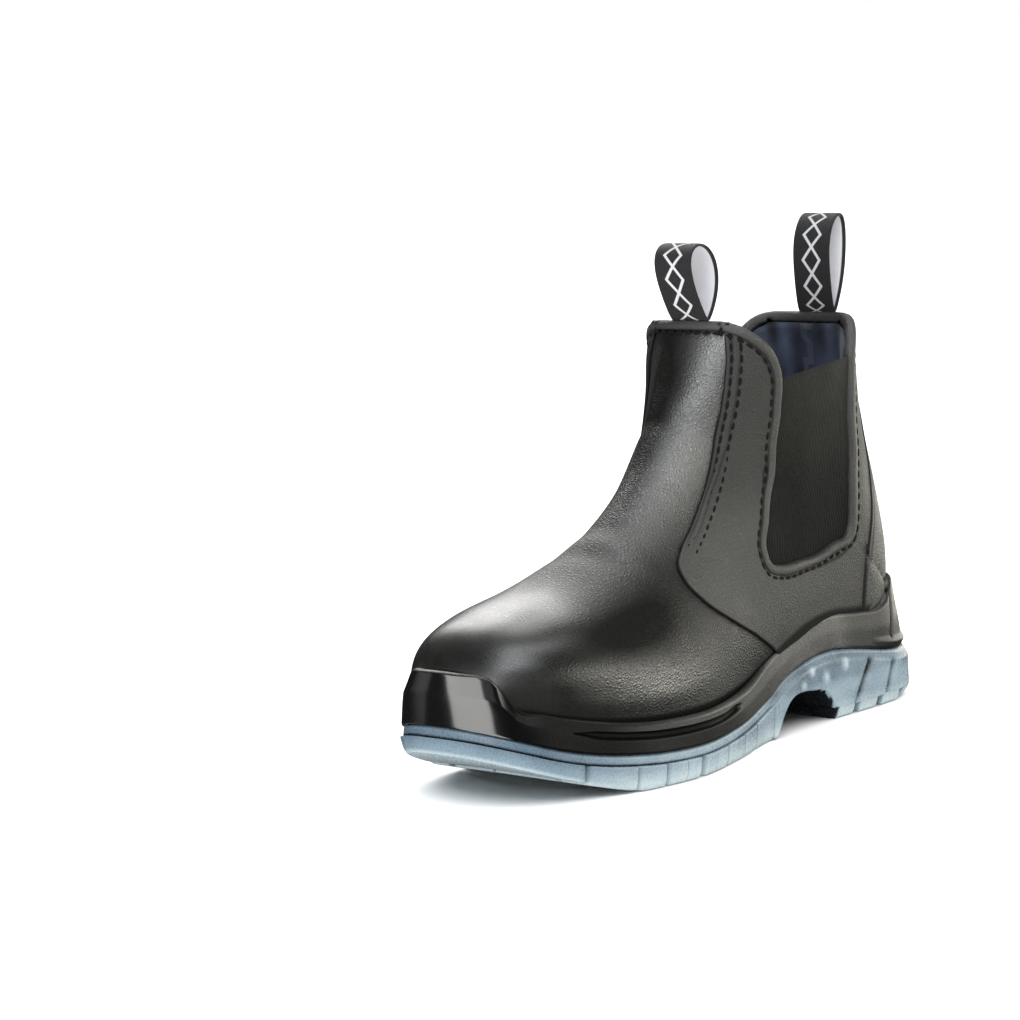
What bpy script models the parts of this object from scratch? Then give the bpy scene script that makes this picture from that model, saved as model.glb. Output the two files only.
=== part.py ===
# Left elastic-sided safety boot, standing, toe along +X and outer side along +Y.
# Tables and sizes are in millimetres, x from the back of the heel and z from the floor.
import math
import bpy
import bmesh
from mathutils import Vector

millimetre = 0.001
length = 306.0
gap = 0.3
wall = 2.2
heelRound = 41.0
toeRound = 78.0
featherInset = 8.5
ringCount = 28
sideCount = 30

# How square the heel and the toe are seen from above: round the last, then up the sole
lastEnds = (2.0, 2.3)
floorEnds = (3.0, 2.75)
joinEnds = (2.4, 2.65)
middleEnds = (2.0, 2.45)
topEnds = (1.9, 2.2)
toeLean = 1.5

overlayThick = 1.3
strapThick = 1.7
goreThick = 1.4
goreSet = 0.5

insoleThick = 3.0
tapeWide = 22.0
tapeThick = 1.5

treadDeep = 5.0
lugBand = 5.0
lugProud = 1.2
notchDeep = 3.0
slitWide = 2.4
slitLong = 17.0


def table(columns, rows):
    names = columns.split()
    return {name: [row[index] for row in rows] for index, name in enumerate(names)}


# Outline of the sole seen from above: middle line and half width
plan = table("x axis half", [
    (0, 0.0, 39.5),
    (45, 0.0, 40.5),
    (92, 1.5, 38.0),
    (130, 4.5, 37.5),
    (171, 7.0, 47.5),
    (206, 5.5, 55.5),
    (232, 1.5, 56.0),
    (262, -4.5, 53.0),
    (306, -9.0, 50.0),
])

# Sections of the last from the toe to the collar
last = table("crestX crestZ baseX baseZ lateral medial widest crown under", [
    (300.0, 46, 298.5, 41.5, 3.0, 22.0, 0.50, 2.2, 2.2),
    (299.0, 58, 294.0, 40.0, 11.0, 29.0, 0.45, 2.3, 2.2),
    (293.0, 68, 286.0, 37.0, 22.0, 37.5, 0.40, 2.4, 2.2),
    (283.0, 76, 271.0, 33.0, 33.5, 45.0, 0.36, 2.4, 2.2),
    (266.0, 82, 251.0, 29.0, 44.0, 50.5, 0.33, 2.4, 2.2),
    (244.0, 89, 223.0, 26.0, 53.0, 50.5, 0.30, 2.2, 2.2),
    (222.0, 99, 193.0, 25.5, 54.5, 45.5, 0.28, 2.0, 2.2),
    (200.0, 111, 157.0, 29.0, 48.0, 38.0, 0.28, 1.9, 2.2),
    (181.0, 125, 113.0, 36.0, 41.5, 33.5, 0.30, 1.9, 2.2),
    (166.0, 139, 67.0, 41.5, 38.5, 35.0, 0.36, 2.0, 2.2),
    (155.0, 150, 27.0, 43.5, 37.5, 36.0, 0.40, 2.1, 2.2),
    (150.5, 156, 8.5, 45.0, 37.5, 36.5, 0.42, 2.2, 2.2),
    (145.5, 164, 5.0, 64.0, 38.0, 37.0, 0.45, 2.3, 2.2),
    (140.0, 173, 13.0, 96.0, 38.5, 37.5, 0.47, 2.4, 2.3),
    (135.0, 182, 24.0, 129.0, 39.5, 39.0, 0.48, 2.5, 2.4),
    (130.5, 190, 31.0, 160.0, 41.0, 40.0, 0.49, 2.6, 2.6),
    (127.5, 197, 32.0, 191.0, 41.5, 40.5, 0.50, 2.7, 2.7),
])
heelRow = 11
topRow = 16

# Side heights of the sole: underside, line between outsole and midsole, top edge of the midsole
side = table("x floor join top", [
    (0, 3.5, 26.5, 60.0),
    (11, 0.0, 25.5, 60.0),
    (17, 0.0, 25.5, 59.3),
    (23, 0.0, 25.7, 56.5),
    (29, 0.0, 26.2, 51.6),
    (38, 0.0, 27.5, 48.5),
    (56, 0.0, 31.0, 49.0),
    (78, 0.0, 34.0, 51.0),
    (98, 0.0, 32.5, 49.0),
    (115, 0.0, 28.0, 43.8),
    (131, 0.0, 21.0, 37.5),
    (148, 0.0, 17.5, 32.0),
    (168, 0.0, 15.7, 29.8),
    (206, 0.0, 14.8, 29.5),
    (238, 0.0, 16.4, 31.0),
    (262, 6.0, 20.0, 35.0),
    (281, 12.5, 25.5, 40.5),
    (291, 16.5, 29.5, 45.0),
    (297, 19.0, 32.0, 57.0),
    (306, 23.0, 36.0, 61.0),
])

# Edge of the leather round the elastic, from the front tab down, under and up to the back tab
goreEdge = table("x z", [
    (128.5, 215.0),
    (126.0, 197.5),
    (122.0, 194.5),
    (116.5, 189.3),
    (110.5, 181.8),
    (106.8, 173.0),
    (106.5, 154.0),
    (109.5, 136.0),
    (114.5, 116.5),
    (121.0, 101.5),
    (125.5, 91.0),
    (123.5, 83.5),
    (115.5, 81.0),
    (99.5, 81.0),
    (83.5, 82.0),
    (66.0, 85.5),
    (59.5, 90.5),
    (57.5, 104.0),
    (55.0, 137.0),
    (53.0, 166.0),
    (51.0, 175.5),
    (46.0, 183.5),
    (39.5, 189.5),
    (37.0, 196.0),
    (36.5, 215.0),
])

# Front seam of the side panel, from the collar down to the sole
seamEdge = table("x z", [
    (121.0, 215.0),
    (124.5, 197.0),
    (126.5, 190.0),
    (129.0, 178.0),
    (133.5, 160.0),
    (142.0, 138.5),
    (155.5, 120.0),
    (169.5, 106.5),
    (181.0, 98.5),
    (188.0, 91.5),
    (187.5, 84.0),
    (181.5, 76.5),
    (161.5, 63.0),
    (143.0, 53.0),
    (128.5, 44.5),
])

# Edge of the strap that covers the back seam
strapEdge = table("x z", [
    (35.0, 215.0),
    (35.0, 160.0),
    (36.0, 130.0),
    (38.5, 96.0),
    (44.5, 78.0),
    (48.5, 62.0),
    (49.5, 44.0),
])

# Pull loops: foot on the collar edge, height, bulge of a strand, lean of the top and spread at the foot
loops = table("name x y z tall bulge lean spread", [
    ("pull_loop_front", 126.5, 1.2, 197.0, 37.0, 12.6, 3.0, 0.25),
    ("pull_loop_back", 33.0, 4.5, 191.0, 48.0, 8.6, -8.0, 0.30),
])

# Wide grooves across the forefoot: place on the middle line, and how far each edge lies further back
crossGrooves = table("x outerSweep innerSweep wide", [
    (276, 14, 10, 5.0),
    (254, 26, 9, 6.0),
    (232, 25, 9, 6.0),
    (209, 26, 9, 6.0),
    (187, 24, 8, 6.0),
    (166, 21, 6, 5.5),
])

# Thin slits between the edge lugs of the outer and inner side
edgeSlits = table("x hand", [
    (244, 1),
    (217, 1),
    (195, 1),
    (173, 1),
    (256, -1),
    (234, -1),
])

# Lengthwise grooves of the forefoot, placed by a share of the half width
longGrooves = table("name share wide deep", [
    ("outer", 0.66, 3.8, 4.6),
    ("inner", -0.60, 3.8, 4.6),
    ("middle", 0.0, 2.2, 3.2),
])

# Short grooves from the edge of the heel, and how far in they reach
heelGrooves = table("x wide reach", [
    (24, 5.0, 17.0),
    (43, 5.0, 17.0),
    (61, 5.0, 17.0),
])

# Raised hollow under the waist, seen from the side
shankEdge = table("x z", [
    (76.5, -3.0),
    (78.5, 6.0),
    (81.5, 12.0),
    (87.0, 15.8),
    (95.0, 17.3),
    (104.0, 18.0),
    (111.0, 16.8),
    (116.5, 13.2),
    (121.5, 7.5),
    (127.0, 0.6),
    (130.0, -3.0),
])


def curve(knots, values, at):
    # Cubic through the knots, flat extension outside them
    at = min(max(at, knots[0]), knots[-1])
    index = 0
    while index < len(knots) - 2 and at > knots[index + 1]:
        index += 1

    def slope(place):
        if place == 0:
            return (values[1] - values[0]) / (knots[1] - knots[0])
        if place == len(knots) - 1:
            return (values[-1] - values[-2]) / (knots[-1] - knots[-2])
        before = knots[place] - knots[place - 1]
        after = knots[place + 1] - knots[place]
        riseBefore = (values[place] - values[place - 1]) / before
        riseAfter = (values[place + 1] - values[place]) / after
        return (riseBefore * after + riseAfter * before) / (before + after)

    span = knots[index + 1] - knots[index]
    share = (at - knots[index]) / span
    square = share * share
    cube = square * share
    start = values[index] * (2 * cube - 3 * square + 1)
    finish = values[index + 1] * (3 * square - 2 * cube)
    lead = slope(index) * span * (cube - 2 * square + share)
    trail = slope(index + 1) * span * (cube - square)
    return start + finish + lead + trail


def sideHeight(name, x):
    return max(0.0, curve(side["x"], side[name], x))


def outline(x, inset, ends=lastEnds):
    # Middle line and half width of the sole outline, moved in by the inset
    x = min(max(x, inset), length - inset)
    full = (x - inset) * length / (length - 2 * inset)
    half = curve(plan["x"], plan["half"], full) - inset
    heel = max(0.0, 1 - full / heelRound)
    toe = max(0.0, (full - (length - toeRound)) / toeRound)
    heelPower, toePower = ends
    rear = max(0.0, 1 - heel ** heelPower) ** (1 / heelPower)
    front = max(0.0, 1 - toe ** toePower) ** (1 / toePower)
    return curve(plan["x"], plan["axis"], full), half * rear * front


def lastPoint(row, turn):
    # Turn runs from the inner base at -1 over the crest at 0 to the outer base at 1
    if row >= heelRow and abs(turn) > 1:
        turn = turn - 2 if turn > 0 else turn + 2
    turn = min(max(turn, -1.0), 1.0)
    hand = 1 if turn >= 0 else -1
    places = range(topRow + 1)
    crestX = curve(places, last["crestX"], row)
    crestZ = curve(places, last["crestZ"], row)
    baseX = curve(places, last["baseX"], row)
    baseZ = curve(places, last["baseZ"], row)
    wide = curve(places, last["lateral" if hand > 0 else "medial"], row)
    widest = curve(places, last["widest"], row)
    axis, half = outline(baseX, featherInset)
    feather = 0.0 if row >= heelRow else min(wide, max(0.0, half + hand * axis))
    ridge = outline(crestX, 0)[0] * min(max((crestX - 150) / 60, 0), 1) * hand
    share = abs(turn)
    if share < 0.5:
        power = 2 / curve(places, last["crown"], row)
        angle = share * math.pi
        climb = widest + (1 - widest) * math.cos(angle) ** power
        out = ridge + (wide - ridge) * math.sin(angle) ** power
    else:
        power = 2 / curve(places, last["under"], row)
        angle = (share - 0.5) * math.pi
        climb = widest * (1 - math.sin(angle) ** power)
        out = feather + (wide - feather) * max(0.0, math.cos(angle)) ** power
    return Vector((baseX + (crestX - baseX) * climb, hand * out, baseZ + (crestZ - baseZ) * climb))


def skin(row, turn, out):
    # Point at a distance outside the last, measured along its normal
    point = lastPoint(row, turn)
    if out == 0:
        return point
    step = 0.02
    along = lastPoint(min(row + step, topRow), turn) - lastPoint(max(row - step, 0), turn)
    around = lastPoint(row, turn + step) - lastPoint(row, turn - step)
    return point + around.cross(along).normalized() * out


rowStops = [0, 0.4, 0.8, 1.3, 2, 2.8, 3.6, 4.4, 5.2, 6, 6.7, 7.4, 8, 8.6, 9.2, 9.8, 10.4]
rowStops += [11, 11.5, 12, 12.8, 13.4, 14, 14.7, 15.4, 16]


def centreY():
    edges = [outline(length * step / 400, 0) for step in range(401)]
    return (max(axis + half for axis, half in edges) + min(axis - half for axis, half in edges)) / 2


shift = Vector((-length / 2, -centreY(), 0))

for item in list(bpy.data.objects):
    bpy.data.objects.remove(item)


def makeMaterial(name, colour, rough):
    material = bpy.data.materials.new(name)
    material.use_nodes = True
    shader = material.node_tree.nodes["Principled BSDF"]
    shader.inputs["Base Color"].default_value = (colour[0], colour[1], colour[2], 1)
    shader.inputs["Roughness"].default_value = rough
    return material


def makeObject(name, mesh, material=None):
    for vert in mesh.verts:
        vert.co = (vert.co + shift) * millimetre
    bmesh.ops.recalc_face_normals(mesh, faces=mesh.faces)
    data = bpy.data.meshes.new(name)
    mesh.to_mesh(data)
    mesh.free()
    item = bpy.data.objects.new(name, data)
    bpy.context.scene.collection.objects.link(item)
    if material:
        data.materials.append(material)
    else:
        item.hide_render = True
        item.display_type = "WIRE"
    return item


def boolean(item, operation, cutter):
    modifier = item.modifiers.new(cutter.name, "BOOLEAN")
    modifier.operation = operation
    modifier.solver = "EXACT"
    modifier.object = cutter


def addFace(mesh, corners):
    kept = list(dict.fromkeys(corners))
    if len(kept) > 2:
        mesh.faces.new(kept)


def addSkin(mesh, out):
    # Surface of the last at a distance, with the toe closed
    turns = [-1 + 2 * place / ringCount for place in range(ringCount + 1)]
    rings = []
    for row in rowStops:
        ring = [mesh.verts.new(skin(row, turn, out)) for turn in turns[:-1]]
        ring.append(ring[0] if row >= heelRow else mesh.verts.new(skin(row, turns[-1], out)))
        rings.append(ring)
    for lower, upper in zip(rings[:-1], rings[1:]):
        for place in range(ringCount):
            addFace(mesh, [lower[place], lower[place + 1], upper[place + 1], upper[place]])
    toe = rings[0]
    for place in range(ringCount // 2):
        addFace(mesh, [toe[place], toe[place + 1], toe[ringCount - place - 1], toe[ringCount - place]])
    return rings


def form(name, out):
    # Filled shape of the last at a distance
    mesh = bmesh.new()
    rings = addSkin(mesh, out)
    for lower, upper in zip(rings[:-1], rings[1:]):
        if lower[0] is not lower[-1]:
            addFace(mesh, [lower[0], upper[0], upper[-1], lower[-1]])
    addFace(mesh, rings[-1][:-1])
    bmesh.ops.triangulate(mesh, faces=mesh.faces)
    return makeObject(name, mesh)


def shell(name, out, thick, material):
    # Wall whose outer face lies at a distance outside the last, open at the collar and underneath
    mesh = bmesh.new()
    outer = addSkin(mesh, out)
    inner = addSkin(mesh, out - thick)
    for place in range(ringCount):
        addFace(mesh, [outer[-1][place], outer[-1][place + 1], inner[-1][place + 1], inner[-1][place]])
    for row in range(rowStops.index(heelRow)):
        for end in (0, -1):
            addFace(mesh, [outer[row][end], outer[row + 1][end], inner[row + 1][end], inner[row][end]])
    addFace(mesh, [outer[0][0], outer[0][-1], inner[0][-1], inner[0][0]])
    bmesh.ops.triangulate(mesh, faces=mesh.faces)
    return makeObject(name, mesh, material)


def smooth(path, steps):
    # Open path through the rows of a side view table
    knots = [0.0]
    for place in range(1, len(path["x"])):
        run = math.hypot(path["x"][place] - path["x"][place - 1], path["z"][place] - path["z"][place - 1])
        knots.append(knots[-1] + run)
    points = []
    for place in range(len(knots) - 1):
        for step in range(steps):
            at = knots[place] + (knots[place + 1] - knots[place]) * step / steps
            points.append((curve(knots, path["x"], at), curve(knots, path["z"], at)))
    points.append((path["x"][-1], path["z"][-1]))
    return points


def offsetPath(points, distance):
    # Open path moved to its left
    moved = []
    for place, point in enumerate(points):
        before = points[max(place - 1, 0)]
        after = points[min(place + 1, len(points) - 1)]
        run = math.hypot(after[0] - before[0], after[1] - before[1])
        moved.append((point[0] - (after[1] - before[1]) / run * distance,
                      point[1] + (after[0] - before[0]) / run * distance))
    return moved


def prism(name, points, near, far):
    # Side view outline carried across the boot
    mesh = bmesh.new()
    face = mesh.faces.new([mesh.verts.new((x, near, z)) for x, z in points])
    grown = bmesh.ops.extrude_face_region(mesh, geom=[face])
    moved = [part for part in grown["geom"] if isinstance(part, bmesh.types.BMVert)]
    bmesh.ops.translate(mesh, verts=moved, vec=(0, far - near, 0))
    return makeObject(name, mesh)


def soleRing(inset, height, ends):
    # Ring of points round the sole outline: outer side heel to toe, then inner side back
    ring = []
    for place in range(2 * sideCount):
        hand = 1 if place <= sideCount else -1
        share = place / sideCount if hand > 0 else 2 - place / sideCount
        station = length / 2 * (1 - math.cos(math.pi * share))
        inward = inset(station) if callable(inset) else inset
        x = inward + station * (length - 2 * inward) / length
        axis, half = outline(x, inward, ends)
        ring.append(Vector((x, axis + hand * half, height(station))))
    return ring


def soleLoft(name, levels, material=None):
    # Rings of the sole outline joined upwards, with ladder caps across the ends
    mesh = bmesh.new()
    rings = [[mesh.verts.new(point) for point in soleRing(*level)] for level in levels]
    count = 2 * sideCount
    for lower, upper in zip(rings[:-1], rings[1:]):
        for place in range(count):
            after = (place + 1) % count
            mesh.faces.new([lower[place], lower[after], upper[after], upper[place]])
    for ring in (rings[0], rings[-1]):
        for place in range(sideCount):
            corners = [ring[place], ring[place + 1], ring[count - place - 1], ring[(count - place) % count]]
            mesh.faces.new(list(dict.fromkeys(corners)))
    bmesh.ops.triangulate(mesh, faces=mesh.faces)
    return makeObject(name, mesh, material)


def groove(name, points, deep):
    # Closed plan outline carried up into the sole to a depth above its underside
    mesh = bmesh.new()
    face = mesh.faces.new([mesh.verts.new((x, y, -8)) for x, y in points])
    grown = bmesh.ops.extrude_face_region(mesh, geom=[face])
    for part in grown["geom"]:
        if isinstance(part, bmesh.types.BMVert):
            part.co.z = sideHeight("floor", part.co.x) + deep(part.co.x)
    bmesh.ops.triangulate(mesh, faces=mesh.faces)
    return makeObject(name, mesh)


leather = makeMaterial("leather", (0.018, 0.017, 0.017), 0.42)
panelLeather = makeMaterial("panel leather", (0.022, 0.021, 0.02), 0.48)
strapLeather = makeMaterial("strap leather", (0.02, 0.019, 0.018), 0.46)
elastic = makeMaterial("elastic", (0.03, 0.031, 0.028), 0.85)
tape = makeMaterial("tape", (0.02, 0.02, 0.022), 0.7)
foam = makeMaterial("midsole foam", (0.02, 0.02, 0.02), 0.4)
rubber = makeMaterial("outsole rubber", (0.22, 0.3, 0.38), 0.35)
board = makeMaterial("insole board", (0.03, 0.035, 0.06), 0.9)

# Outsole: lugs stand a little proud below a plain band
def heelBevel(station):
    return 3.2 + 4.6 * max(0.0, 1 - station / 30)


def bandStep(station):
    return lugProud * min(max((station - 96) / 20, 0.25), 1)


outsole = soleLoft("outsole", [
    (heelBevel, lambda x: sideHeight("floor", x), floorEnds),
    (0.9, lambda x: sideHeight("floor", x) + 3.5, floorEnds),
    (0.0, lambda x: sideHeight("join", x) - lugBand - 0.6, floorEnds),
    (bandStep, lambda x: sideHeight("join", x) - lugBand + 0.6, floorEnds),
    (bandStep, lambda x: sideHeight("join", x), joinEnds),
], rubber)

shank = prism("shank cutter", smooth(shankEdge, 2), -90, 90)
boolean(outsole, "DIFFERENCE", shank)


def grooveX(place, y):
    # Middle line of a cross groove: straight slant outwards, a gentle bend inwards
    share = abs(y) / 56
    if y > 0:
        return crossGrooves["x"][place] - crossGrooves["outerSweep"][place] * share ** 1.15
    return crossGrooves["x"][place] - crossGrooves["innerSweep"][place] * share ** 2


def treadDepth(x):
    return treadDeep


def notchHeight(x):
    return sideHeight("join", x) - lugBand - sideHeight("floor", x)


def notch(name, x, wide, hand):
    # Cut in the side wall from the floor up to the plain band
    axis, half = outline(x, 0)
    start = axis + hand * (half - notchDeep)
    finish = axis + hand * (half + 12)
    corners = [(x - wide / 2, start), (x + wide / 2, start), (x + wide / 2, finish), (x - wide / 2, finish)]
    boolean(outsole, "DIFFERENCE", groove(name, corners, notchHeight))


# Cross grooves, each with a notch where it leaves the side
reach = [-76, -54, -36, -18, 0, 28, 56, 76]
for place, x in enumerate(crossGrooves["x"]):
    wide = crossGrooves["wide"][place]
    axis = outline(x, 0)[0]
    spine = [(grooveX(place, y), axis + y) for y in reach]
    points = [(px - wide / 2, py) for px, py in spine] + [(px + wide / 2, py) for px, py in reversed(spine)]
    boolean(outsole, "DIFFERENCE", groove("cross groove %d" % place, points, treadDepth))
    for hand in (1, -1):
        edgeX = grooveX(place, 52 * hand)
        notch("side notch %d %d" % (place, hand), edgeX, 3.4, hand)

# Thin slits between the edge lugs
for place, x in enumerate(edgeSlits["x"]):
    hand = edgeSlits["hand"][place]
    axis, half = outline(x, 0)
    start = axis + hand * (half - slitLong)
    finish = axis + hand * (half + 12)
    lean = 9.0 if hand > 0 else 3.0
    points = [(x + lean - slitWide / 2, start), (x + lean + slitWide / 2, start)]
    points += [(x - lean + slitWide / 2, finish), (x - lean - slitWide / 2, finish)]
    boolean(outsole, "DIFFERENCE", groove("edge slit %d" % place, points, treadDepth))
    notch("slit notch %d" % place, x, slitWide, hand)

# Lengthwise grooves between edge lugs and middle lugs
for place, name in enumerate(longGrooves["name"]):
    wide = longGrooves["wide"][place]
    deep = longGrooves["deep"][place]
    spine = []
    for step in range(7):
        x = 147 + step * 20.0
        axis, half = outline(x, 0)
        spine.append((x, axis + longGrooves["share"][place] * half))
    points = [(px, py - wide / 2) for px, py in spine] + [(px, py + wide / 2) for px, py in reversed(spine)]
    boolean(outsole, "DIFFERENCE", groove("long groove " + name, points, lambda x, deep=deep: deep))

# Heel edge grooves
for place, x in enumerate(heelGrooves["x"]):
    for hand in (1, -1):
        axis, half = outline(x, 0)
        wide = heelGrooves["wide"][place]
        start = axis + hand * (half - heelGrooves["reach"][place])
        finish = axis + hand * (half + 12)
        points = [(x - wide / 2, start), (x + wide / 2, start)]
        points += [(x + wide / 2, finish), (x - wide / 2, finish)]
        boolean(outsole, "DIFFERENCE", groove("heel groove %d %d" % (place, hand), points, treadDepth))

# Midsole: wall with a side groove, bumper and heel cup, hollowed by the form of the upper
def grooveWindow(station):
    rise = min(max((station - 166) / 12, 0), 1) * min(max((284 - station) / 16, 0), 1)
    return rise * rise * (3 - 2 * rise)


def toeTilt(station):
    return toeLean * min(max((station - 272) / 26, 0), 1)


def midHeight(share, extra):
    def height(x):
        join = sideHeight("join", x) + gap
        return join + (sideHeight("top", x) - join) * share + extra
    return height


midsole = soleLoft("midsole", [
    (1.4, midHeight(0.0, 0.0), joinEnds),
    (0.4, midHeight(0.0, 1.4), joinEnds),
    (0.3, midHeight(0.62, -1.3), middleEnds),
    (lambda x: 0.4 + 1.5 * grooveWindow(x), midHeight(0.62, 0.0), middleEnds),
    (0.6, midHeight(0.62, 1.3), middleEnds),
    (lambda x: 1.0 + toeTilt(x), midHeight(1.0, -1.4), topEnds),
    (lambda x: 2.2 + toeTilt(x), midHeight(1.0, 0.0), topEnds),
    (14.0, midHeight(1.0, 0.0), topEnds),
], foam)
hollow = form("upper form", gap + 0.05)
boolean(midsole, "DIFFERENCE", hollow)

# Upper, cut out for the two elastic panels
goreLine = smooth(goreEdge, 2)
goreCut = prism("gore cutter", goreLine, -90, 90)
upper = shell("upper", 0, wall, leather)
boolean(upper, "DIFFERENCE", goreCut)

# Side panels with the collar arms in front of and behind the elastic, trimmed along the sole
soleForm = soleLoft("sole form", [
    (0.0, midHeight(0.0, 0.0), joinEnds),
    (0.0, midHeight(1.0, gap), topEnds),
    (14.0, midHeight(1.0, gap), topEnds),
])

strapLine = smooth(strapEdge, 2)
quarterLine = smooth(seamEdge, 2) + [(124, 40), (strapEdge["x"][-1] + 0.4, 40)]
quarterLine += [(x + 0.4, z) for x, z in reversed(strapLine[:-1])]
for name, near, far in (("quarter_lateral", 3, 90), ("quarter_medial", -90, -3)):
    panel = shell(name, gap + overlayThick, overlayThick, panelLeather)
    boolean(panel, "INTERSECT", prism(name + " outline", quarterLine, near, far))
    boolean(panel, "DIFFERENCE", goreCut)
    boolean(panel, "DIFFERENCE", soleForm)

backStrap = shell("back_strap", gap + strapThick, strapThick, strapLeather)
strapOutline = strapLine + [(-12, 44), (-12, 215)]
boolean(backStrap, "INTERSECT", prism("strap outline", strapOutline, -60, 60))
boolean(backStrap, "DIFFERENCE", soleForm)

# Elastic panels set into the cut-outs, with a dipped top edge
inside = offsetPath(goreLine, -gap)
goreOutline = [point for point in inside if point[1] < 168]
goreOutline += [(56.0, 173.0), (68.0, 172.4), (80.0, 171.4), (92.0, 170.2), (103.6, 168.6)]
for name, near, far in (("gore_lateral", 3, 90), ("gore_medial", -90, -3)):
    panel = shell(name, -goreSet, goreThick, elastic)
    boolean(panel, "INTERSECT", prism(name + " outline", goreOutline, near, far))


# Folded tape standing on the collar edge
def pullLoop(name, size):
    mesh = bmesh.new()
    steps = 24
    tall = size["tall"]
    spread = size["spread"]

    def strand(thin):
        points = []
        for step in range(steps):
            angle = -math.pi + 2 * math.pi * step / steps
            climb = (1 + math.cos(angle)) / 2
            out = (size["bulge"] - thin) * math.sin(angle) * (spread + (1 - spread) * climb ** 0.7)
            height = thin + (tall - 2 * thin) * climb
            points.append((size["x"] + out + size["lean"] * (height / tall) ** 1.5, size["z"] + gap + height))
        return points

    edges = []
    for y in (size["y"] - tapeWide / 2, size["y"] + tapeWide / 2):
        edges.append([[mesh.verts.new((x, y, z)) for x, z in strand(thin)] for thin in (0.0, tapeThick)])
    near, far = edges
    for place in range(steps):
        after = (place + 1) % steps
        addFace(mesh, [near[0][place], near[0][after], far[0][after], far[0][place]])
        addFace(mesh, [near[1][place], far[1][place], far[1][after], near[1][after]])
        addFace(mesh, [near[0][place], near[1][place], near[1][after], near[0][after]])
        addFace(mesh, [far[0][place], far[0][after], far[1][after], far[1][place]])
    return makeObject(name, mesh, tape)


for place, name in enumerate(loops["name"]):
    pullLoop(name, {column: values[place] for column, values in loops.items()})

# Insole resting on the midsole floor through the open underside of the upper
def insoleMesh():
    mesh = bmesh.new()
    stops = [row for row in rowStops if 1 < row < heelRow]
    places = range(topRow + 1)

    def ring(inset, lift):
        points = []
        for hand in (1, -1):
            line = []
            for row in stops:
                x = curve(places, last["baseX"], row)
                axis, half = outline(x, featherInset)
                height = curve(places, last["baseZ"], row) + lift
                line.append(Vector((x, axis + hand * max(half - inset, 1.5), height)))
            points += line if hand > 0 else list(reversed(line))
        return [mesh.verts.new(point) for point in points]

    rings = [ring(2.2, gap), ring(2.2, wall), ring(2.2, wall + insoleThick)]
    count = 2 * len(stops)
    for lower, upper in zip(rings[:-1], rings[1:]):
        for place in range(count):
            after = (place + 1) % count
            mesh.faces.new([lower[place], lower[after], upper[after], upper[place]])
    for line in (rings[0], rings[-1]):
        for place in range(len(stops) - 1):
            mesh.faces.new([line[place], line[place + 1], line[count - place - 2], line[count - place - 1]])
    return mesh


makeObject("insole", insoleMesh(), board)
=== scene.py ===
import math
import bpy
import bmesh
import numpy as np
from mathutils import Matrix, Vector


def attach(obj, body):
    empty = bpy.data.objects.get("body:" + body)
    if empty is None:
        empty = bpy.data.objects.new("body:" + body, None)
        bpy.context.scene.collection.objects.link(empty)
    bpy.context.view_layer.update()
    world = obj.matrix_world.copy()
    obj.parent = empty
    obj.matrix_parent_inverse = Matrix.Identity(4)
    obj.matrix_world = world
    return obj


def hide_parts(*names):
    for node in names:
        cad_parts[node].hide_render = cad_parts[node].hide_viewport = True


# Left elastic-sided safety boot. Sizes are in millimetres, x from the back of the heel, z from the floor.
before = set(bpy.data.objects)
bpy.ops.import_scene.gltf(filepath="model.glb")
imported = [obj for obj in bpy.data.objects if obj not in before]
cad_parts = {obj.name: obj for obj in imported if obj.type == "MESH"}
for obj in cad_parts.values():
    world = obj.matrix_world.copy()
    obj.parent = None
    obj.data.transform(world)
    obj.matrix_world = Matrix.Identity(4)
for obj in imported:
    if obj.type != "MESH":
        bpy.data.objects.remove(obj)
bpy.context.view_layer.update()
print("frame loaded with", len(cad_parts), "nodes")

millimetre = 0.001
boot = {"length": 306.0, "heelRound": 41.0, "toeRound": 78.0, "featherInset": 8.5, "toeLean": 1.5,
        "ridgeFrom": 150.0, "ridgeTo": 210.0}
# How square the heel and the toe are seen from above: round the last, then up the sole
soleEnds = {"last": (2.0, 2.3), "floor": (3.0, 2.75), "join": (2.4, 2.65), "middle": (2.0, 2.45),
            "top": (1.9, 2.2)}


def table(columns, rows):
    # Short table whose columns are read by name
    return dict(zip(columns.split(), map(list, zip(*rows))))


def records(columns, rows):
    # Short table whose rows are read one by one
    return [dict(zip(columns.split(), row)) for row in rows]


# The form of the last and the sole, the same tables as the solids
plan = table("x axis half", [
    (0, 0.0, 39.5), (45, 0.0, 40.5), (92, 1.5, 38.0), (130, 4.5, 37.5), (171, 7.0, 47.5),
    (206, 5.5, 55.5), (232, 1.5, 56.0), (262, -4.5, 53.0), (306, -9.0, 50.0),
])

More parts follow.
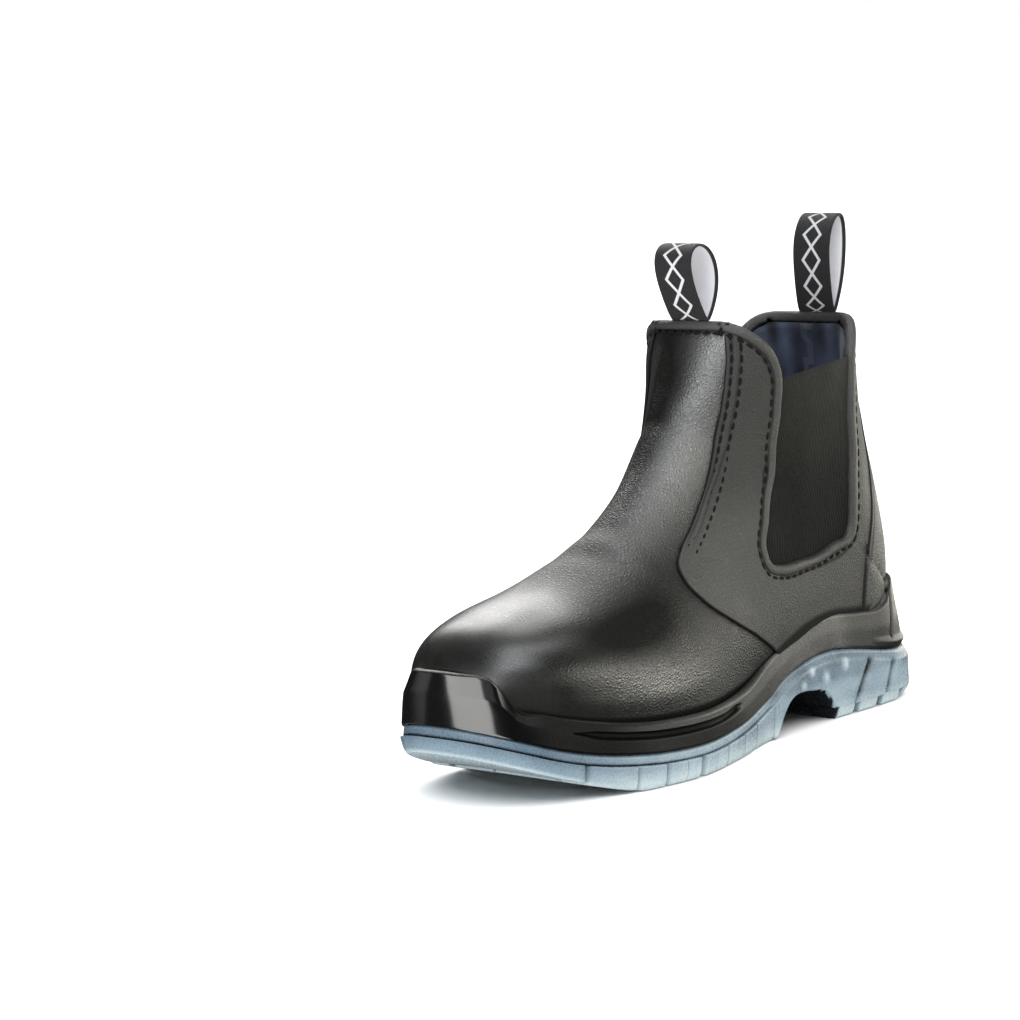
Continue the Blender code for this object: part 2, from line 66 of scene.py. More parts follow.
last = table("crestX crestZ baseX baseZ lateral medial widest crown under", [
    (300.0, 46, 298.5, 41.5, 3.0, 22.0, 0.50, 2.2, 2.2),
    (299.0, 58, 294.0, 40.0, 11.0, 29.0, 0.45, 2.3, 2.2),
    (293.0, 68, 286.0, 37.0, 22.0, 37.5, 0.40, 2.4, 2.2),
    (283.0, 76, 271.0, 33.0, 33.5, 45.0, 0.36, 2.4, 2.2),
    (266.0, 82, 251.0, 29.0, 44.0, 50.5, 0.33, 2.4, 2.2),
    (244.0, 89, 223.0, 26.0, 53.0, 50.5, 0.30, 2.2, 2.2),
    (222.0, 99, 193.0, 25.5, 54.5, 45.5, 0.28, 2.0, 2.2),
    (200.0, 111, 157.0, 29.0, 48.0, 38.0, 0.28, 1.9, 2.2),
    (181.0, 125, 113.0, 36.0, 41.5, 33.5, 0.30, 1.9, 2.2),
    (166.0, 139, 67.0, 41.5, 38.5, 35.0, 0.36, 2.0, 2.2),
    (155.0, 150, 27.0, 43.5, 37.5, 36.0, 0.40, 2.1, 2.2),
    (150.5, 156, 8.5, 45.0, 37.5, 36.5, 0.42, 2.2, 2.2),
    (145.5, 164, 5.0, 64.0, 38.0, 37.0, 0.45, 2.3, 2.2),
    (140.0, 173, 13.0, 96.0, 38.5, 37.5, 0.47, 2.4, 2.3),
    (135.0, 182, 24.0, 129.0, 39.5, 39.0, 0.48, 2.5, 2.4),
    (130.5, 190, 31.0, 160.0, 41.0, 40.0, 0.49, 2.6, 2.6),
    (127.5, 197, 32.0, 191.0, 41.5, 40.5, 0.50, 2.7, 2.7),
])
heelRow = 11
topRow = 16

side = table("x floor join top", [
    (0, 3.5, 26.5, 60.0), (11, 0.0, 25.5, 60.0), (17, 0.0, 25.5, 59.3), (23, 0.0, 25.7, 56.5),
    (29, 0.0, 26.2, 51.6), (38, 0.0, 27.5, 48.5), (56, 0.0, 31.0, 49.0), (78, 0.0, 34.0, 51.0),
    (98, 0.0, 32.5, 49.0), (115, 0.0, 28.0, 43.8), (131, 0.0, 21.0, 37.5), (148, 0.0, 17.5, 32.0),
    (168, 0.0, 15.7, 29.8), (206, 0.0, 14.8, 29.5), (238, 0.0, 16.4, 31.0), (262, 6.0, 20.0, 35.0),
    (281, 12.5, 25.5, 40.5), (291, 16.5, 29.5, 45.0), (297, 19.0, 32.0, 57.0), (306, 23.0, 36.0, 61.0),
])


def curve(knots, values, at):
    # Cubic through the knots, flat outside them
    knots = np.asarray(knots, float)
    values = np.asarray(values, float)
    at = np.clip(np.asarray(at, float), knots[0], knots[-1])
    index = np.clip(np.searchsorted(knots, at) - 1, 0, len(knots) - 2)
    spans = np.diff(knots)
    rises = np.diff(values) / spans
    slopes = np.empty(len(knots))
    slopes[0] = rises[0]
    slopes[-1] = rises[-1]
    slopes[1:-1] = (rises[:-1] * spans[1:] + rises[1:] * spans[:-1]) / (spans[:-1] + spans[1:])
    span = spans[index]
    share = (at - knots[index]) / span
    square = share ** 2
    cube = share ** 3
    start = values[index] * (2 * cube - 3 * square + 1)
    finish = values[index + 1] * (3 * square - 2 * cube)
    lead = slopes[index] * span * (cube - 2 * square + share)
    trail = slopes[index + 1] * span * (cube - square)
    return start + finish + lead + trail


def ramp(start, finish, at):
    # Straight rise from 0 to 1 between two places
    return np.clip((np.asarray(at, float) - start) / (finish - start), 0, 1)


def ease(start, finish, at):
    share = ramp(start, finish, at)
    return share * share * (3 - 2 * share)


def hill(at, middle, wide):
    return np.exp(-((np.asarray(at, float) - middle) / wide) ** 2)


def quarterRound(share):
    # Height of a quarter circle at a share of its width
    return np.sqrt(np.maximum(0, 1 - (1 - np.clip(share, 0, 1)) ** 2))


def runLengths(points):
    # Distance along rows of points, from nothing at the first
    steps = np.linalg.norm(np.diff(points, axis=-2), axis=-1)
    return np.concatenate([np.zeros_like(steps[..., :1]), np.cumsum(steps, axis=-1)], axis=-1)


def sideHeight(name, x):
    return np.maximum(0.0, curve(side["x"], side[name], x))


def outline(x, inset, ends=soleEnds["last"]):
    # Middle line and half width of the sole outline, moved in by the inset
    length = boot["length"]
    x = np.clip(x, inset, length - inset)
    full = (x - inset) * length / (length - 2 * inset)
    half = curve(plan["x"], plan["half"], full) - inset
    heel = np.maximum(0.0, 1 - full / boot["heelRound"])
    toe = np.maximum(0.0, (full - (length - boot["toeRound"])) / boot["toeRound"])
    heelPower, toePower = ends
    rear = np.maximum(0.0, 1 - heel ** heelPower) ** (1 / heelPower)
    front = np.maximum(0.0, 1 - toe ** toePower) ** (1 / toePower)
    return curve(plan["x"], plan["axis"], full), half * rear * front


def blendEnds(share, stops, names):
    # Squareness of the outline at a share of the height, read between named levels
    return [np.interp(share, stops, [soleEnds[name][end] for name in names]) for end in range(2)]


def lastColumn(name, row):
    return curve(range(topRow + 1), last[name], row)


def lastPoint(row, turn):
    # Turn runs from the inner base at -1 over the crest at 0 to the outer base at 1
    row = np.clip(row, 0, topRow)
    turn = np.where((row >= heelRow) & (np.abs(turn) > 1), turn - 2 * np.sign(turn), turn)
    turn = np.clip(turn, -1, 1)
    hand = np.where(turn >= 0, 1.0, -1.0)
    column = {name: lastColumn(name, row) for name in last}
    wide = np.where(hand > 0, column["lateral"], column["medial"])
    widest = column["widest"]
    axis, half = outline(column["baseX"], boot["featherInset"])
    feather = np.where(row >= heelRow, 0.0, np.minimum(wide, np.maximum(0.0, half + hand * axis)))
    ridge = outline(column["crestX"], 0)[0] * hand
    ridge = ridge * ramp(boot["ridgeFrom"], boot["ridgeTo"], column["crestX"])
    share = np.abs(turn)
    upper = np.minimum(share, 0.5) * math.pi
    power = 2 / column["crown"]
    climbUp = widest + (1 - widest) * np.maximum(0.0, np.cos(upper)) ** power
    outUp = ridge + (wide - ridge) * np.sin(upper) ** power
    lower = np.maximum(share - 0.5, 0.0) * math.pi
    power = 2 / column["under"]
    climbLow = widest * (1 - np.sin(lower) ** power)
    outLow = feather + (wide - feather) * np.maximum(0.0, np.cos(lower)) ** power
    climb = np.where(share < 0.5, climbUp, climbLow)
    out = np.where(share < 0.5, outUp, outLow)
    x = column["baseX"] + (column["crestX"] - column["baseX"]) * climb
    z = column["baseZ"] + (column["crestZ"] - column["baseZ"]) * climb
    return np.stack([x, hand * out, z], axis=-1)


def unitVector(vectors):
    return vectors / np.maximum(np.linalg.norm(vectors, axis=-1, keepdims=True), 1e-9)


surfaceStep = 0.02


def alongRow(row, turn):
    return lastPoint(row + surfaceStep, turn) - lastPoint(row - surfaceStep, turn)


def alongTurn(row, turn):
    return lastPoint(row, turn + surfaceStep) - lastPoint(row, turn - surfaceStep)


def skinNormal(row, turn):
    return unitVector(np.cross(alongTurn(row, turn), alongRow(row, turn)))


def skin(row, turn, out):
    # Point at a distance outside the last, measured along its normal
    row = np.asarray(row, float)
    turn = np.asarray(turn, float)
    return lastPoint(row, turn) + skinNormal(row, turn) * np.asarray(out, float)[..., None]


def sideRow(x, z):
    # Row and share of turn of a point given in the side view, its row found by halving
    x = np.asarray(x, float)
    z = np.asarray(z, float)
    low = np.zeros(x.shape)
    high = np.full(x.shape, float(topRow))
    halvings = 36
    for _ in range(halvings):
        row = (low + high) / 2
        baseX = lastColumn("baseX", row)
        baseZ = lastColumn("baseZ", row)
        runX = lastColumn("crestX", row) - baseX
        runZ = lastColumn("crestZ", row) - baseZ
        above = runX * (z - baseZ) - runZ * (x - baseX) > 0
        low = np.where(above, row, low)
        high = np.where(above, high, row)
    climb = np.clip(((x - baseX) * runX + (z - baseZ) * runZ) / (runX ** 2 + runZ ** 2), 0, 1)
    widest = lastColumn("widest", row)
    over = np.clip((climb - widest) / (1 - widest), 0, 1)
    below = np.clip(1 - climb / widest, 0, 1)
    shareUp = np.arccos(over ** (lastColumn("crown", row) / 2)) / math.pi
    shareLow = 0.5 + np.arcsin(below ** (lastColumn("under", row) / 2)) / math.pi
    return row, np.where(climb > widest, shareUp, shareLow)


def centreY():
    axis, half = outline(np.linspace(0, boot["length"], 401), 0)
    return ((axis + half).max() + (axis - half).min()) / 2


shift = np.array([-boot["length"] / 2, -centreY(), 0.0])


# Modelling helpers
weld = {"near": 0.00001, "flat": 0.000001}


def sheet(mesh, across, along, place, flip=False):
    # Grid whose unit coordinates a function turns into points and named measures
    first = len(mesh.verts)
    verts = bmesh.ops.create_grid(mesh, x_segments=across, y_segments=along, size=0.5)["verts"]
    unit = np.array([vert.co for vert in verts]) + 0.5
    made = place(unit[:, 0], unit[:, 1])
    layers = {name: mesh.verts.layers.float.get(name) or mesh.verts.layers.float.new(name)
              for name in made if name != "point"}
    mesh.verts.ensure_lookup_table()
    verts = mesh.verts[first:]
    for vert, point in zip(verts, (made["point"] + shift) * millimetre):
        vert.co = point
    for name, layer in layers.items():
        for vert, value in zip(verts, np.broadcast_to(made[name], len(verts))):
            vert[layer] = value
    if flip:
        faces = {face for vert in verts for face in vert.link_faces}
        bmesh.ops.reverse_faces(mesh, faces=list(faces))


def meshData(name, mesh, material):
    data = bpy.data.meshes.new(name)
    mesh.to_mesh(data)
    mesh.free()
    data.materials.append(material)
    return data


def addObject(name, data):
    made = bpy.data.objects.new(name, data)
    bpy.context.scene.collection.objects.link(made)
    return made


def addPiece(name, mesh, material, node, slot, thick=0.0, closed=False):
    bmesh.ops.remove_doubles(mesh, verts=mesh.verts, dist=weld["near"])
    bmesh.ops.dissolve_degenerate(mesh, edges=mesh.edges, dist=weld["flat"])
    if closed:
        bmesh.ops.recalc_face_normals(mesh, faces=mesh.faces)
    data = meshData(name, mesh, material)
    data.shade_smooth()
    piece = addObject(name, data)
    if thick:
        wall = piece.modifiers.new("wall", "SOLIDIFY")
        wall.thickness = thick * millimetre
        wall.offset = -1
    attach(piece, "root")
    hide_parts(*node.split())


def addSheet(name, across, along, place, material, node, slot, flip=False, **finish):
    # A piece made of one sheet
    mesh = bmesh.new()
    sheet(mesh, across, along, place, flip)
    addPiece(name, mesh, material, node, slot, **finish)


def surfacePath(rows, turns):
    # Smooth path on the last through given rows and turns, read by millimetres along it
    stepsPerKnot = 40
    rows = np.asarray(rows, float)
    turns = np.asarray(turns, float)
    knots = runLengths(lastPoint(rows, turns))
    at = np.linspace(0, knots[-1], stepsPerKnot * len(rows))
    fineRows = np.clip(curve(knots, rows, at), 0, topRow)
    fineTurns = curve(knots, turns, at)
    fine = runLengths(lastPoint(fineRows, fineTurns))
    return {"at": fine, "rows": fineRows, "turns": fineTurns, "length": fine[-1]}


def onPath(path, at):
    return np.interp(at, path["at"], path["rows"]), np.interp(at, path["at"], path["turns"])


def besidePath(path, at, aside):
    # Row and turn of points at a distance to the left of a path, within the surface
    reach = 0.6
    row, turn = onPath(path, at)
    ahead = lastPoint(*onPath(path, np.minimum(at + reach, path["length"])))
    behind = lastPoint(*onPath(path, np.maximum(at - reach, 0)))
    leftward = np.cross(skinNormal(row, turn), unitVector(ahead - behind))
    cut = (row < surfaceStep) | (row > topRow - surfaceStep)
    perRow = alongRow(row, turn) / np.where(cut, surfaceStep, 2 * surfaceStep)[..., None]
    perTurn = alongTurn(row, turn) / (2 * surfaceStep)
    rowRow = (perRow * perRow).sum(-1)
    rowTurn = (perRow * perTurn).sum(-1)
    turnTurn = (perTurn * perTurn).sum(-1)
    wantRow = (perRow * leftward).sum(-1) * aside
    wantTurn = (perTurn * leftward).sum(-1) * aside
    whole = rowRow * turnTurn - rowTurn ** 2
    moveRow = (wantRow * turnTurn - wantTurn * rowTurn) / whole
    moveTurn = (wantTurn * rowRow - wantRow * rowTurn) / whole
    return row + moveRow, turn + moveTurn, leftward


# Shader helpers
def addNode(tree, kind, **settings):
    node = tree.nodes.new(kind)
    for name, value in settings.items():
        setattr(node, name, value)
    return node


def feed(socket, value):
    # A socket takes a plain value or a link from another node
    if isinstance(value, bpy.types.NodeSocket):
        socket.id_data.links.new(value, socket)
    else:
        socket.default_value = value


def setInputs(node, **values):
    for name, value in values.items():
        feed(node.inputs[name.replace("_", " ")], value)
    return node


def fill(node, *values):
    # The first inputs of a node in order, and its first output
    for socket, value in zip(node.inputs, values):
        feed(socket, value)
    return node.outputs[0]


def mathNode(tree, operation, *values, clamp=False):
    return fill(addNode(tree, "ShaderNodeMath", operation=operation, use_clamp=clamp), *values)


def weighted(tree, *parts, start=0.0, clamp=False):
    # Sum of values, each times its weight
    for value, weight in parts:
        start = mathNode(tree, "MULTIPLY_ADD", value, weight, start)
    start.node.use_clamp = clamp
    return start


def vectorNode(tree, operation, *values):
    return fill(addNode(tree, "ShaderNodeVectorMath", operation=operation), *values)


def rampNode(tree, value, stops):
    node = addNode(tree, "ShaderNodeValToRGB")
    while len(node.color_ramp.elements) < len(stops):
        node.color_ramp.elements.new(0.5)
    for element, (position, colour) in zip(node.color_ramp.elements, stops):
        element.position = position
        element.color = (*colour, 1)
    return fill(node, value)


def mapRange(tree, value, fromLow, fromHigh, toLow=0.0, toHigh=1.0):
    node = addNode(tree, "ShaderNodeMapRange", interpolation_type="SMOOTHSTEP")
    return fill(node, value, fromLow, fromHigh, toLow, toHigh)


def between(tree, value, low, high):
    return mapRange(tree, value, 0.0, 1.0, low, high)


def attribute(tree, name):
    return addNode(tree, "ShaderNodeAttribute", attribute_name=name).outputs["Fac"]


def objectPlace(tree):
    return addNode(tree, "ShaderNodeTexCoord").outputs["Object"]


def noise(tree, place, scale, detail):
    node = addNode(tree, "ShaderNodeTexNoise")
    return setInputs(node, Vector=place, Scale=scale, Detail=detail).outputs


def wave(tree, value, pitch):
    turns = mathNode(tree, "DIVIDE", value, pitch)
    return mathNode(tree, "SINE", mathNode(tree, "MULTIPLY", turns, 2 * math.pi))


def newGroup(name, inputs, *outputs):
    # Node group of plain numbers: the group, what it is given and its result
    group = bpy.data.node_groups.new(name, "ShaderNodeTree")
    for label, value in inputs.items():
        socket = group.interface.new_socket(name=label, in_out="INPUT", socket_type="NodeSocketFloat")
        socket.default_value = value
    for label in outputs:
        group.interface.new_socket(name=label, in_out="OUTPUT", socket_type="NodeSocketFloat")
    return group, addNode(group, "NodeGroupInput").outputs, addNode(group, "NodeGroupOutput")


def useGroup(tree, group, **values):
    return setInputs(addNode(tree, "ShaderNodeGroup", node_tree=group), **values).outputs


def newMaterial(name, **values):
    material = bpy.data.materials.new(name)
    material.use_nodes = True
    shader = material.node_tree.nodes["Principled BSDF"]
    setInputs(shader, **values)
    return material, material.node_tree, shader


def addBump(tree, shader, height, strength, distance):
    bump = addNode(tree, "ShaderNodeBump")
    setInputs(bump, Strength=strength, Distance=distance * millimetre, Height=height)
    setInputs(shader, Normal=bump.outputs["Normal"])


# Pebbled grain: rounded cells of uneven size with fine pores
pebbleLook = {"wobble": 260.0, "sway": 0.0016, "cellEdge": 0.45, "pores": 0.35}


def buildGrain():
    group, given, result = newGroup("pebbleGrain", {"Cells": 800.0, "Pores": 2600.0}, "Height", "Valley")
    place = objectPlace(group)
    wobble = noise(group, place, pebbleLook["wobble"], 2.0)["Color"]
    moved = vectorNode(group, "MULTIPLY_ADD", wobble, [pebbleLook["sway"]] * 3, place)
    cells = addNode(group, "ShaderNodeTexVoronoi", feature="DISTANCE_TO_EDGE")
    setInputs(cells, Vector=moved, Scale=given["Cells"])
    pebble = mapRange(group, cells.outputs["Distance"], 0.0, pebbleLook["cellEdge"])
    fine = noise(group, place, given["Pores"], 3.0)[0]
    setInputs(result, Height=weighted(group, (fine, pebbleLook["pores"]), start=pebble),
              Valley=mathNode(group, "SUBTRACT", 1.0, pebble))
    return group


# Slow change of tone over a surface, and fine handling marks
def buildMottle():
    group, given, result = newGroup("softMottle", {"Patch": 22.0, "Speck": 700.0}, "Patches", "Specks")
    for label, output, detail in (("Patch", "Patches", 4.0), ("Speck", "Specks", 2.0)):
        cloud = noise(group, objectPlace(group), given[label], detail)[0]
        feed(result.inputs[output], mapRange(group, cloud, 0.3, 0.7))
    return group


# Threads crossing over and under, laid along two measures of the surface
def buildWeave():
    group, given, result = newGroup("crossWeave", {"Along": 0.0, "Across": 0.0, "Pitch": 1.0},
                                    "Height", "Thread")
    waves = [wave(group, given[label], given["Pitch"]) for label in ("Along", "Across")]
    cross = mathNode(group, "MULTIPLY", *waves)
    height = weighted(group, (cross, 0.5), start=0.5)
    setInputs(result, Height=height, Thread=mapRange(group, cross, -0.2, 0.2))
    return group


grain = buildGrain()
mottle = buildMottle()
weave = buildWeave()

leatherLook = {"dark": (0.0052, 0.0052, 0.0049), "worn": (0.0135, 0.0133, 0.0122), "specular": 0.6,
               "dentSpecular": 0.04, "index": 1.7, "pores": 3.1, "uneven": 0.05, "bump": 0.85}


def leatherMaterial(name, cells, depth, rough, polish=None, lift=1.0):
    # Finished black leather, smoother where the polish measure is high and dull in its dents, with painted
    # shade in its dents and lines, and painted sheen and shade from the sheen measure
    material, tree, shader = newMaterial(name, IOR=leatherLook["index"])
    pebbles = useGroup(tree, grain, Cells=cells, Pores=cells * leatherLook["pores"])
    tone = useGroup(tree, mottle, Patch=26.0, Speck=520.0)
    dentShade = attribute(tree, "dentShade")
    paintedSheen = attribute(tree, "paintedSheen")
    # Painted shade: the colour darkens where the painted sheen is negative
    sheenShade = mathNode(tree, "MINIMUM", paintedSheen, 0.0)
    mixed = weighted(tree, (tone["Patches"], 0.6), (tone["Specks"], 0.25), (pebbles["Valley"], -0.35),
                     (sheenShade, 1.0), (dentShade, -1.0), clamp=True)
    dark = [lift * part for part in leatherLook["dark"]]
    worn = [lift * part for part in leatherLook["worn"]]
    level = between(tree, dentShade, leatherLook["specular"], leatherLook["dentSpecular"])
    level = mathNode(tree, "MULTIPLY", level, mathNode(tree, "ADD", paintedSheen, 1.0))
    rough = between(tree, tone["Patches"], rough - leatherLook["uneven"], rough + leatherLook["uneven"])
    rough = weighted(tree, (pebbles["Valley"], 0.12), (dentShade, 0.3), start=rough, clamp=True)
    height = pebbles["Height"]
    if polish:
        shine = attribute(tree, polish)
        rough = weighted(tree, (shine, -0.16), start=rough)
        height = mathNode(tree, "MULTIPLY", height, weighted(tree, (shine, -0.85), start=1.0))
    colour = rampNode(tree, mixed, [(0.0, dark), (1.0, worn)])
    setInputs(shader, Base_Color=colour, Specular_IOR_Level=level, Roughness=rough)
    addBump(tree, shader, height, leatherLook["bump"], depth)
    return material


vampLeather = leatherMaterial("vamp leather", 640.0, 0.2, 0.42, "polish")
panelLeather = leatherMaterial("panel leather", 700.0, 0.22, 0.52, lift=2.3)
rimLeather = leatherMaterial("rim leather", 900.0, 0.18, 0.46, lift=2.2)
print("leathers mixed")


# Vamp: the front of the upper, from the toe over the instep to the collar
vamp = {"along": 200, "around": 210, "thick": 1.9, "capLift": 0.7, "capEnd": (4.3, 5.6), "capBow": 0.6,
        "polishEnd": (3.6, 6.6), "polishBow": 1.2, "bowPower": 1.5, "leastSheen": -0.9}
vampLimit = table("row turn", [
    (0, 1.0), (8.1, 1.0), (8.5, 0.35), (9.2, 0.30), (10.5, 0.29), (14.4, 0.24), (15.2, 0.20), (15.7, 0.155),
    (15.9, 0.115), (16, 0.085),
])
# Soft troughs and ridges: place, spread and height, with how far they bow towards the toe
creases = records("row turn rowWide turnWide rise bow", [
    (6.15, 0.02, 0.20, 0.20, -0.55, 1.2),
    (6.55, 0.03, 0.18, 0.20, 0.35, 1.2),
    (6.95, -0.02, 0.20, 0.17, -0.40, 1.0),
    (8.70, 0.03, 0.35, 0.16, -0.45, 0.6),
    (9.60, -0.03, 0.38, 0.15, 0.35, 0.4),
    (10.60, 0.04, 0.45, 0.13, -0.40, 0.2),
    (5.60, 0.44, 0.55, 0.07, -0.50, 0.0),
    (5.20, -0.43, 0.50, 0.07, -0.45, 0.0),
    (12.60, 0.02, 0.60, 0.09, -0.35, 0.0),
])
# Painted highlights and shade: where the leather's sheen is raised, or lowered with its colour darkened:
# place, spread and gain
sheen = records("row turn rowWide turnWide rise", [
    (12.6, 0.12, 4.2, 0.070, 0.95),
    (14.9, 0.09, 1.2, 0.075, 1.3),
    (9.0, 0.15, 1.7, 0.065, 1.3),
    (12.2, -0.04, 4.6, 0.075, -1.25),
    (5.3, 0.31, 1.9, 0.130, -1.1),
    (5.0, 0.51, 1.2, 0.065, 2.9),
])
# Painted shade, darkest where the leather enters the midsole
soleLine = {"shade": 0.95, "near": 0.8, "far": 4.2}


def softHills(marks, row, turn):
    total = np.zeros(np.shape(row))
    for mark in marks:
        shifted = row - mark["row"] - mark.get("bow", 0.0) * np.abs(turn) ** vamp["bowPower"]
        spread = hill(shifted, 0, mark["rowWide"]) * hill(turn, mark["turn"], mark["turnWide"])
        total = total + mark["rise"] * spread
    return total


def soleShade(point):
    above = point[:, 2] - sideHeight("top", point[:, 0])
    return soleLine["shade"] * (1 - ease(soleLine["near"], soleLine["far"], above))


def vampPlace(across, along):
    row = along * topRow
    turn = (2 * across - 1) * np.interp(row, vampLimit["row"], vampLimit["turn"])
    aside = np.abs(turn)
    cap = 1 - ease(*vamp["capEnd"], row + vamp["capBow"] * aside)
    polish = 1 - ease(*vamp["polishEnd"], row + vamp["polishBow"] * aside)
    # Painted sheen: raises or lowers the sheen, and darkens the colour where it is lowered
    paintedSheen = np.maximum(softHills(sheen, row, turn), vamp["leastSheen"])
    point = skin(row, turn, softHills(creases, row, turn) + vamp["capLift"] * cap)
    return {"point": point, "polish": polish, "paintedSheen": paintedSheen, "dentShade": soleShade(point)}


addSheet("vampLeather", vamp["around"], vamp["along"], vampPlace, vampLeather, "upper", "upper",
         thick=vamp["thick"])
print("vamp shaped")

# Edge of the leather round the elastic, and the seams of the side panel, in the side view
goreEdge = table("x z", [
    (126.5, 204.0), (122.0, 194.5), (116.5, 189.3), (110.5, 181.8), (106.8, 173.0), (106.5, 154.0),
    (109.5, 136.0), (114.5, 116.5), (121.0, 101.5), (125.5, 91.0), (123.5, 83.5), (115.5, 81.0),
    (99.5, 81.0), (83.5, 82.0), (66.0, 85.5), (59.5, 90.5), (57.5, 104.0), (55.0, 137.0),
    (53.0, 166.0), (51.0, 175.5), (46.0, 183.5), (39.5, 189.5), (37.0, 204.0),
])
seamEdge = table("x z", [
    (122.5, 204.0), (126.5, 190.0), (129.0, 178.0), (133.5, 160.0), (142.0, 138.5), (155.5, 120.0),
    (169.5, 106.5), (181.0, 98.5), (188.0, 91.5), (187.5, 84.0), (181.5, 76.5), (161.5, 63.0),
    (143.0, 53.0), (128.5, 44.5), (118.0, 38.5),
])
soleEdge = table("x z", [(118.0, 38.5), (98.0, 43.0), (75.0, 45.5), (58.0, 46.0), (53.0, 46.3)])
strapEdge = table("x z", [
    (53.0, 46.3), (50.8, 48.0), (50.0, 53.0), (48.5, 62.0), (44.5, 78.0), (38.5, 96.0), (36.0, 130.0),
    (35.0, 160.0), (35.0, 204.0),
])


def sidePath(*tables):
    # Side view tables joined into one path on the last, without the knots that two tables share
    samples = 1200
    knots = [place for part in tables for place in zip(part["x"], part["z"])]
    knots = [place for index, place in enumerate(knots) if index == 0 or place != knots[index - 1]]
    xs, zs = np.array(knots, float).T
    run = runLengths(np.stack([xs, zs], axis=-1))
    at = np.linspace(0, run[-1], samples)
    rows, shares = sideRow(curve(run, xs, at), curve(run, zs, at))
    return {"at": at, "rows": rows, "turns": shares, "length": run[-1], "knots": run}


gorePath = sidePath(goreEdge)
outerPath = sidePath(seamEdge, soleEdge, strapEdge)

# Folded rim along the collar and round the elastic, and how far in its stitches run
rim = {"steps": 460, "stitchIn": 5.6, "frontTurns": (0.0, 0.06, 0.11), "backTurns": (0.87, 0.93, 1.0),
       "dentShade": 0.8, "dentIn": 4.7, "dentWide": 0.8}
# Side panels: a sheet between the elastic and the outer edge, thin at its edges, dented along its stitches
panel = {"along": 300, "across": 64, "samples": 33, "thick": 1.15, "proud": 1.6, "edgeProud": 0.4,
         "edgeRound": 1.1, "edgeLine": 0.7, "fullWidth": 18.0, "rimBand": 8.5, "edgeBand": 3.0,
         "bandShares": (0.2, 0.82), "rows": (2.9, 7.4), "rowsEnd": (0.30, 0.36), "rowWide": 0.9, "sink": 0.5,
         "rowDent": 0.45, "ridge": 0.4, "ridgeWide": 1.3, "rimStep": 0.35, "rimEnd": (2.5, 5.5),
         "rimDent": 0.7, "rimDentWide": 0.8, "wave": 0.25, "waveIn": (8, 20), "waveOut": (6, 18),
         "topRow": 15.86, "paintedSheen": 0.05, "sheenDrop": 0.4, "dropZ": (95, 130)}
panelSplit = table("share goreRow outerRow", [
    (0.0, 0, 0), (0.36, 9, 8), (0.56, 12, 14), (0.70, 15, 18), (1.0, 22, 26),
])


def panelLine(path, column, share):
    stops = [path["knots"][place] for place in panelSplit[column]]
    return onPath(path, np.interp(share, panelSplit["share"], stops))


def panelPlace(hand):
    def place(across, along):
        innerRow, innerTurn = panelLine(gorePath, "goreRow", along)
        outerRow, outerTurn = panelLine(outerPath, "outerRow", along)
        steps = np.linspace(0, 1, panel["samples"])
        rows = innerRow[:, None] + (outerRow - innerRow)[:, None] * steps
        turns = innerTurn[:, None] + (outerTurn - innerTurn)[:, None] * steps
        far = runLengths(lastPoint(rows, turns))
        total = far[:, -1]
        # Each edge has a band of its own in the grid, narrower where the panel is
        scale = np.minimum(1, total / panel["fullWidth"])
        fold = panel["rimBand"] * scale
        edge = panel["edgeBand"] * scale
        rimShare, edgeShare = panel["bandShares"]
        inward = ramp(0, rimShare, across) * fold + ramp(edgeShare, 1, across) * edge
        inward = inward + ramp(rimShare, edgeShare, across) * (total - fold - edge)
        outward = total - inward
        share = np.array([np.interp(at, run, steps) for at, run in zip(inward, far)])
        row = innerRow + (outerRow - innerRow) * share
        turn = innerTurn + (outerTurn - innerTurn) * share
        stitched = 1 - ease(*panel["rowsEnd"], along)
        grooves = stitched * sum(hill(outward, line, panel["rowWide"]) for line in panel["rows"])
        ridge = stitched * hill(outward, sum(panel["rows"]) / 2, panel["ridgeWide"])
        lip = quarterRound(outward / panel["edgeRound"])
        out = panel["edgeProud"] + (panel["proud"] - panel["edgeProud"]) * lip
        out = out - panel["sink"] * grooves + panel["ridge"] * ridge
        out = out - panel["rimStep"] * (1 - ease(*panel["rimEnd"], inward))
        loose = ease(*panel["waveIn"], inward) * ease(*panel["waveOut"], outward)
        out = out + panel["wave"] * np.sin(row * 1.7 + turn * 9) * loose
        # Painted shade in the stitch grooves, along the outer edge and along the rim's stitch line
        dentShade = panel["rowDent"] * grooves + hill(outward, 0, panel["edgeLine"])
        dentShade = dentShade + panel["rimDent"] * hill(inward, rim["stitchIn"], panel["rimDentWide"])
        point = skin(np.minimum(row, panel["topRow"]), hand * turn, out)
        # Painted sheen, which drops higher up the panel, where the colour also turns darker
        paintedSheen = panel["paintedSheen"] - panel["sheenDrop"] * ease(*panel["dropZ"], point[:, 2])
        return {"point": point, "dentShade": np.maximum(dentShade, soleShade(point)), "paintedSheen": paintedSheen}
    return place


for name, hand, node in (("sidePanelOuter", 1, "quarter_lateral"), ("sidePanelInner", -1, "quarter_medial")):
    addSheet(name, panel["across"], panel["along"], panelPlace(hand), panelLeather, node, "quarters",
             flip=hand < 0, thick=panel["thick"])
print("side panels shaped")

# Strap over the back seam, from the heel cup to the collar
strap = {"across": 120, "up": 130, "low": 47.0, "over": 0.4, "footKnot": 2, "half": 55.0, "thick": 1.5,
         "lap": 1.6, "proud": 2.3, "edgeProud": 0.5, "edgeRound": 1.2, "stitchIn": 3.4, "stitchWide": 0.6,
         "stitchDent": 0.5, "sink": 0.3, "seam": 0.8, "seamFoot": 0.9, "seamEnd": (60, 110), "seamDent": 1.3,
         "paintedSheen": 0.45, "samples": 400}


